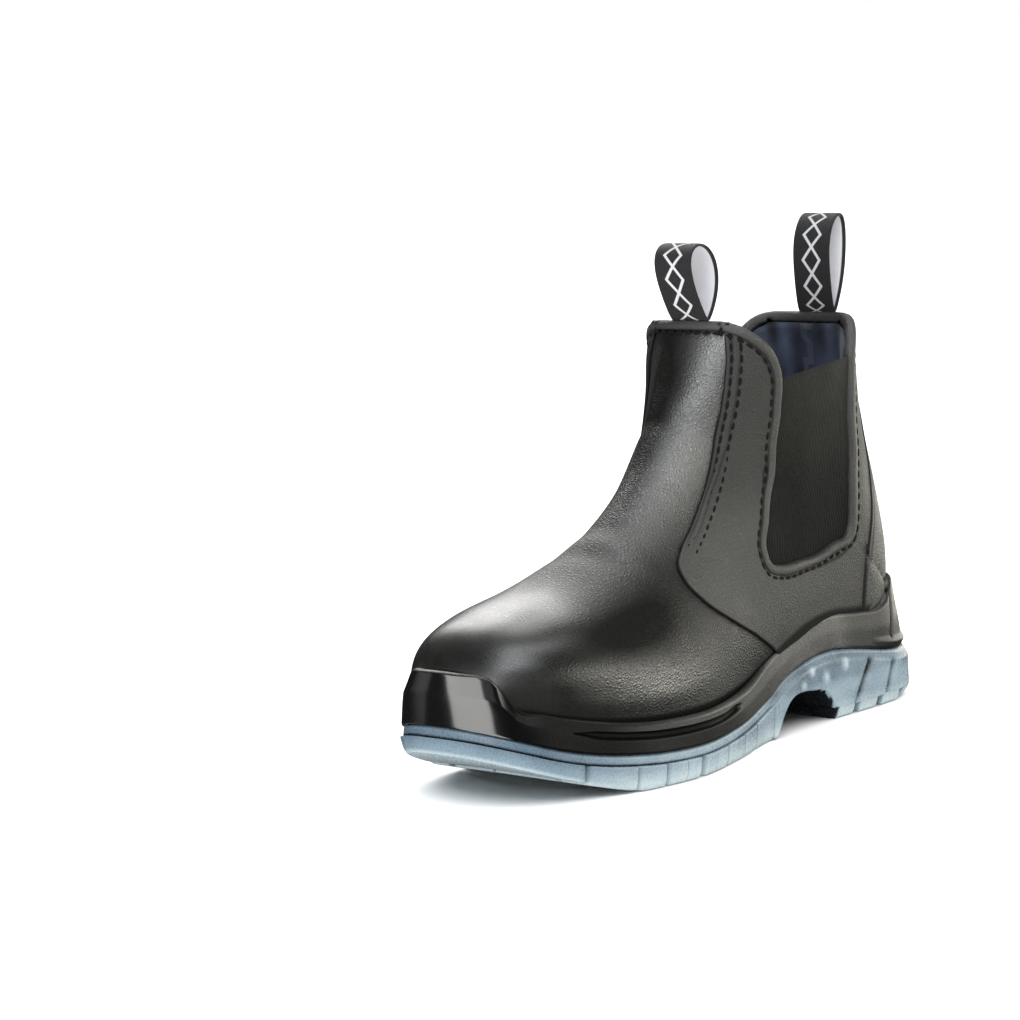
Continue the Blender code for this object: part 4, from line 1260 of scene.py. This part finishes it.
def addLug(mesh, size, place):
    # Box with rounded edges, bent to its place by a function of its three unit coordinates
    low = mesh.verts.layers.float["low"]
    deep = mesh.verts.layers.float["deep"]
    verts = bmesh.ops.create_cube(mesh, size=1.0)["verts"]
    edges = list({edge for vert in verts for edge in vert.link_edges})
    bmesh.ops.subdivide_edges(mesh, edges=edges, cuts=outsole["lugCuts"], use_grid_fill=True)
    lug = [vert for vert in mesh.verts if not vert.tag]
    unit = np.array([vert.co for vert in lug]) + 0.5
    sizes = np.array(size)
    warped = np.stack([lugWarp(unit[:, axis], sizes[axis]) for axis in range(3)], axis=-1) * sizes
    radius = outsole["lugRound"]
    core = np.clip(warped, radius, sizes - radius)
    away = warped - core
    rounded = core + away / np.maximum(np.linalg.norm(away, axis=1, keepdims=True), radius) * radius
    made = place(*(rounded / sizes).T)
    # Painted shade: the front of the heel is darkened, as it lies in the dark of the hollow
    ahead = made["point"][:, 0]
    start, finish, end = outsole["breastX"]
    breast = ease(start, finish, ahead) * (ahead < end)
    points = (made["point"] + shift) * millimetre
    for vert, point, height, shade in zip(lug, points, made["low"], breast):
        vert.co = point
        vert[low] = height
        vert[deep] = shade
        vert.tag = True


def frontX(front, share):
    # Edge of a lug at a share of the half width, where front is a function of y
    x = np.full(np.shape(share), 200.0)
    for _ in range(6):
        axis, half = outline(x, 0, soleEnds["floor"])
        x = front(axis + share * half)
    return x


def lugPlace(rear, front, low, high, tall, outer):
    def place(ahead, aside, rise):
        share = low + (high - low) * aside
        start = frontX(rear, share)
        x = start + (frontX(front, share) - start) * ahead
        top = tall(x)
        height = rise * top
        inset = 0.0
        if outer:
            inset = edgeInset(height, top, outsole["floorInset"]) * ramp(0.75, 1, np.abs(share))
        axis, half = outline(x, 0, soleEnds["floor"])
        point = np.stack([x, axis + share * (half - inset), sideHeight("floor", x) + height], axis=-1)
        return {"point": point, "low": height}
    return place


def bandHeight(x):
    return sideHeight("join", x) - outsole["band"] + outsole["bandLap"] - sideHeight("floor", x)


def treadHeight(x):
    return np.full(np.shape(x), outsole["treadDeep"] + outsole["treadLap"])


def crossLine(groove, hand, column="wide"):
    return lambda y: grooveX(groove, y, hand * groove[column] / 2)


def slitLine(x, hand, aside):
    lean = slit["outerLean"] if hand > 0 else slit["innerLean"]
    axis, wide = outline(np.array(float(x)), 0)
    return lambda y: x + lean - 2 * lean * (np.abs(y - axis) - (wide - slit["from"])) / slit["run"] + aside


def straightLine(x):
    return lambda y: np.full(np.shape(y), float(x))


def addForefootLugs(mesh):
    for column in lugColumns:
        low, high, hand, edge = column.values()
        width = "notch" if edge else "wide"
        lines = [(lugRear, straightLine(lugRear), straightLine(lugRear))]
        for groove in crossGrooves:
            key = grooveX(groove, 50.0 * hand, 0.0) if edge else groove["x"]
            lines.append((key, crossLine(groove, -1, width), crossLine(groove, 1, width)))
        for cut in edgeSlits:
            if edge and cut["hand"] == hand:
                half = cut["wide"] / 2
                lines.append((cut["x"], slitLine(cut["x"], hand, -half), slitLine(cut["x"], hand, half)))
        lines.sort(key=lambda line: line[0])
        for rear, front in zip(lines[:-1], lines[1:]):
            long = max(6.0, front[0] - rear[0] - 3)
            size = (long, (high - low) * outsole["halfWidth"], 10.0 if edge else 6.0)
            tall = bandHeight if edge else treadHeight
            addLug(mesh, size, lugPlace(rear[2], front[1], low, high, tall, edge))


def addHeelLugs(mesh):
    half = heelGrooves["wide"] / 2
    stops = list(heelGrooves["places"])
    inner = heelGrooves["from"]
    outer = inner - heelGrooves["lap"]
    rear = straightLine(heelGrooves["rear"])
    front = straightLine(heelGrooves["front"])
    addLug(mesh, heelGrooves["middleSize"], lugPlace(rear, front, -inner, inner, treadHeight, False))
    for start, finish in zip(stops, stops[1:] + [heelGrooves["front"] + half]):
        for low, high in ((outer, 1.0), (-1.0, -outer)):
            rear = straightLine(start + half)
            front = straightLine(finish - half)
            addLug(mesh, heelGrooves["edgeSize"], lugPlace(rear, front, low, high, treadHeight, True))


def addEndPlate(mesh, toe):
    # Smooth plate at the tip of the toe or the back of the heel: underside, outer wall and groove wall
    tip = boot["length"] if toe else 0.0

    def reach(share):
        if toe:
            return frontX(crossLine(crossGrooves[0], 1), share)
        return np.full(np.shape(share), heelGrooves["places"][0] - heelGrooves["wide"] / 2)

    def tipward(share, ahead):
        return reach(share) + (tip - reach(share)) * np.sin(ahead * math.pi / 2)

    def wall(station, share, rise):
        tall = bandHeight(station) if toe else treadHeight(station)
        heel = np.maximum(0.0, 1 - station / outsole["heelFade"])
        inset = edgeInset(rise * tall, tall, outsole["floorInset"] + outsole["heelInset"] * heel)
        height = sideHeight("floor", station) + rise * tall
        return {"point": solePoint(station, share, inset, height, soleEnds["floor"]), "low": rise * tall}

    def under(across, ahead):
        share = 2 * across - 1
        return wall(tipward(share, ahead), share, np.zeros(share.shape))

    def outer(around, rise):
        share = np.where(around < 0.5, 1.0, -1.0)
        return wall(tipward(share, 1 - np.abs(2 * around - 1)), share, rise)

    def inner(across, rise):
        share = 2 * across - 1
        return wall(reach(share), share, rise)

    sheet(mesh, endPlate["across"], endPlate["ahead"], under)
    sheet(mesh, endPlate["round"], endPlate["rise"], outer)
    sheet(mesh, endPlate["across"], endPlate["rise"], inner)


studs = {"first": 88.0, "last": 118.0, "step": 10.5, "aside": 11.0, "inset": 8.0, "margin": 3.0, "reach": 3,
         "size": (2.6, 2.6, 1.6), "low": 9.0}


def addStuds(mesh):
    # Staggered round studs under the waist
    layer = mesh.verts.layers.float["low"]
    size = Matrix.Diagonal([part * millimetre for part in studs["size"]] + [1.0])
    for line, x in enumerate(np.arange(studs["first"], studs["last"], studs["step"])):
        axis, half = outline(x, studs["inset"])
        for step in range(-studs["reach"], studs["reach"] + 1):
            aside = (step + 0.5 * (line % 2)) * studs["aside"]
            if abs(aside) > half - studs["margin"]:
                continue
            middle = Vector((np.array([x, axis + aside, plateLow(np.array(x))]) + shift) * millimetre)
            made = bmesh.ops.create_uvsphere(mesh, u_segments=14, v_segments=8, radius=1.0,
                                             matrix=Matrix.Translation(middle) @ size)
            for vert in made["verts"]:
                vert[layer] = studs["low"]


def rubberMaterial():
    # Slightly see-through rubber: paler near the floor and darker higher up in the band, with painted shade,
    # a deeper blue, in the grooves
    material, tree, shader = newMaterial("outsole rubber", Specular_IOR_Level=0.5, Subsurface_Weight=0.25,
                                         Subsurface_Scale=0.006, Subsurface_Radius=(0.7, 0.9, 1.0))
    tone = useGroup(tree, mottle, Patch=55.0, Speck=900.0)
    low = attribute(tree, "low")
    mixed = weighted(tree, (mapRange(tree, low, 15.0, 22.0, 0.0, 0.19), -1.0), (tone["Patches"], 0.16),
                     (attribute(tree, "mark"), 0.6), (attribute(tree, "deep"), -1.0),
                     start=mapRange(tree, low, 0.5, 11.0, 0.95, 0.36), clamp=True)
    colours = [(0.0, (0.009, 0.012, 0.016)), (0.36, (0.19, 0.25, 0.30)), (1.0, (0.45, 0.53, 0.56))]
    # Painted shade on the front-facing toe: darker and bluer towards the toe, except at the floor
    place = setInputs(addNode(tree, "ShaderNodeSeparateXYZ"), Vector=objectPlace(tree)).outputs
    ahead = mapRange(tree, place["X"], 0.08, 0.125)
    ahead = mathNode(tree, "MULTIPLY", ahead, mapRange(tree, low, 0.3, 3.0, 0.2, 1.0))
    shade = addNode(tree, "ShaderNodeMix", data_type="RGBA", blend_type="MULTIPLY")
    feed(shade.inputs[0], ahead)
    feed(shade.inputs[6], rampNode(tree, mixed, colours))
    feed(shade.inputs[7], (0.40, 0.47, 0.53, 1.0))
    setInputs(shader, Base_Color=shade.outputs[2], Roughness=between(tree, tone["Specks"], 0.24, 0.36))
    addBump(tree, shader, tone["Specks"], 0.05, 0.1)
    return material


def buildOutsole():
    mesh = bmesh.new()
    sheet(mesh, outsole["round"], outsole["wall"], plateWall)
    for top in (True, False):
        sheet(mesh, outsole["across"], outsole["round"] // 2, plateCap(top))
    for vert in mesh.verts:
        vert.tag = True
    addForefootLugs(mesh)
    addHeelLugs(mesh)
    for toe in (True, False):
        addEndPlate(mesh, toe)
    addStuds(mesh)
    addPiece("outsoleRubber", mesh, rubberMaterial(), "outsole", "outsole", closed=True)


buildOutsole()
print("outsole moulded")

# Insole: a thin cushioned board on the floor of the midsole, dished at the heel
insole = {"along": 120, "across": 40, "inset": 10.7, "short": 6.0, "lift": 5.0, "thick": 2.6,
          "edgeRound": 1.5, "dish": 1.8, "dishEnd": (70, 150), "samples": 300}


def insolePlace(across, along):
    rows = np.linspace(1, heelRow, insole["samples"])[::-1]
    x = insole["inset"] + along * (boot["length"] - 2 * insole["inset"] - insole["short"])
    axis, half = outline(x, insole["inset"])
    share = 2 * across - 1
    edge = roundOff((1 - np.abs(share)) * half, insole["edgeRound"])
    dish = insole["dish"] * share ** 4 * (1 - ease(*insole["dishEnd"], x))
    z = np.interp(x, lastColumn("baseX", rows), lastColumn("baseZ", rows)) + insole["lift"] - edge + dish
    return {"point": np.stack([x, axis + share * half, z], axis=-1), "along": x, "across": share * half}


insoleCloth = clothMaterial("insole cloth", (0.010, 0.012, 0.02), (0.03, 0.034, 0.05), 1.6, 0.1)
addSheet("insoleBoard", insole["across"], insole["along"], insolePlace, insoleCloth, "insole", "insole",
         flip=True, thick=insole["thick"])
print("insole laid")

# Floor, soft studio lights and the camera at the photograph's angle
stage = {"half": 12.0, "cuts": 8, "floor": (0.9, 0.9, 0.9), "paler": 1.02, "air": 1.0, "fill": 0.22,
         "shine": 0.02, "sky": 6.5, "skySpread": 1.9}


def buildFloor():
    material, tree, shader = newMaterial("pale floor", Roughness=0.6, Specular_IOR_Level=0.2)
    tone = useGroup(tree, mottle, Patch=1.5, Speck=60.0)
    colours = [(0.0, stage["floor"]), (1.0, [part * stage["paler"] for part in stage["floor"]])]
    setInputs(shader, Base_Color=rampNode(tree, tone["Patches"], colours))
    mesh = bmesh.new()
    bmesh.ops.create_grid(mesh, x_segments=stage["cuts"], y_segments=stage["cuts"], size=stage["half"])
    floor = addObject("floor", meshData("floor", mesh, material))
    floor.visible_glossy = False
    return floor


# Soft boxes by their direction from the boot, and white cards lying on the floor for the low reflections
rig = {"aim": (0.02, 0.0, 0.10), "far": 1.6, "cardLift": 0.004}
tints = {"cool": (0.95, 0.98, 1.0), "plain": (1.0, 0.995, 0.975), "warm": (1.0, 0.98, 0.87)}
lamps = records("name turn rise wide tall power tint", [
    ("front high", 30, 63, 0.75, 0.65, 7.7, "cool"),
    ("front", 35, 36, 0.90, 0.75, 10.6, "cool"),
    ("front low", -2, 5, 1.50, 0.42, 10.2, "plain"),
    ("inner low", -64, 5, 1.00, 0.42, 0.7, "plain"),
    ("side high", 90, 63, 0.75, 0.65, 4.6, "plain"),
    ("side", 115, 36, 0.90, 0.75, 3.2, "warm"),
    ("side low", 100, 5, 1.05, 0.42, 6.2, "warm"),
    ("rear side low", 140, 5, 1.05, 0.42, 4.9, "warm"),
    ("rear low", 180, 5, 1.05, 0.42, 5.5, "warm"),
    ("rear", -125, 36, 0.90, 0.75, 13.8, "plain"),
    ("rear high", -150, 63, 0.75, 0.65, 9.2, "plain"),
])
cards = records("name x y wide tall power tint", [
    ("front card", 0.8, 0.0, 0.62, 0.62, 6.0, "plain"),
    ("side card", 0.0, 0.8, 0.62, 0.62, 3.6, "warm"),
    ("rear card", -0.8, 0.0, 0.62, 0.62, 6.0, "warm"),
])


def addLamp(lamp, place, away, receivers):
    data = bpy.data.lights.new(lamp["name"], "AREA")
    data.shape = "RECTANGLE"
    data.size = lamp["wide"]
    data.size_y = lamp["tall"]
    data.energy = lamp["power"]
    data.color = tints[lamp["tint"]]
    made = addObject(lamp["name"], data)
    made.location = place
    made.rotation_euler = away.to_track_quat("-Z", "Y").to_euler()
    made.visible_camera = False
    made.light_linking.receiver_collection = receivers


def direction(turn, rise):
    return Vector((math.cos(rise) * math.cos(turn), math.cos(rise) * math.sin(turn), math.sin(rise)))


def buildLamps(floor):
    aim = Vector(rig["aim"])
    others = bpy.data.collections.new("all but the floor")
    others.objects.link(floor)
    others.collection_objects[0].light_linking.link_state = "EXCLUDE"
    for lamp in lamps:
        place = aim + direction(math.radians(lamp["turn"]), math.radians(lamp["rise"])) * rig["far"]
        addLamp(lamp, place, aim - place, others)
    for card in cards:
        addLamp(card, Vector((card["x"], card["y"], rig["cardLift"])), Vector((0, 0, 1)), others)
    # A broad light from straight above keeps the floor white, with the boot's soft shadow on it
    data = bpy.data.lights.new("sky", "SUN")
    data.energy = stage["sky"]
    data.angle = stage["skySpread"]
    receivers = bpy.data.collections.new("floor only")
    receivers.objects.link(floor)
    addObject("sky", data).light_linking.receiver_collection = receivers


def buildWorld():
    # White to the camera, dimmer as a source of light and dark in reflections
    world = bpy.data.worlds.new("studio")
    world.use_nodes = True
    bpy.context.scene.world = world
    tree = world.node_tree
    path = addNode(tree, "ShaderNodeLightPath").outputs
    strength = weighted(tree, (path["Is Camera Ray"], stage["air"] - stage["fill"]),
                        (path["Is Glossy Ray"], stage["shine"] - stage["fill"]), start=stage["fill"])
    setInputs(tree.nodes["Background"], Color=(1, 1, 1, 1), Strength=strength)


camera = {"place": (1.29632, 1.08684, 0.36692), "yaw": 3.88278, "pitch": -0.14748, "roll": -0.05986,
          "focalPixels": 3652.07, "framePixels": 1020, "sensor": 36.0}


def buildCamera():
    roll = camera["roll"]
    forward = direction(camera["yaw"], camera["pitch"])
    level = forward.cross(Vector((0, 0, 1))).normalized()
    upright = level.cross(forward)
    right = math.cos(roll) * level + math.sin(roll) * upright
    up = math.cos(roll) * upright - math.sin(roll) * level
    data = bpy.data.cameras.new("camera")
    data.sensor_width = camera["sensor"]
    data.lens = camera["focalPixels"] / camera["framePixels"] * camera["sensor"]
    view = addObject("camera", data)
    turned = Matrix((right, up, -forward)).transposed().to_4x4()
    view.matrix_world = Matrix.Translation(camera["place"]) @ turned
    bpy.context.scene.camera = view


buildLamps(buildFloor())
buildWorld()
buildCamera()
bpy.context.scene.view_settings.view_transform = "Standard"
print("stage lit")
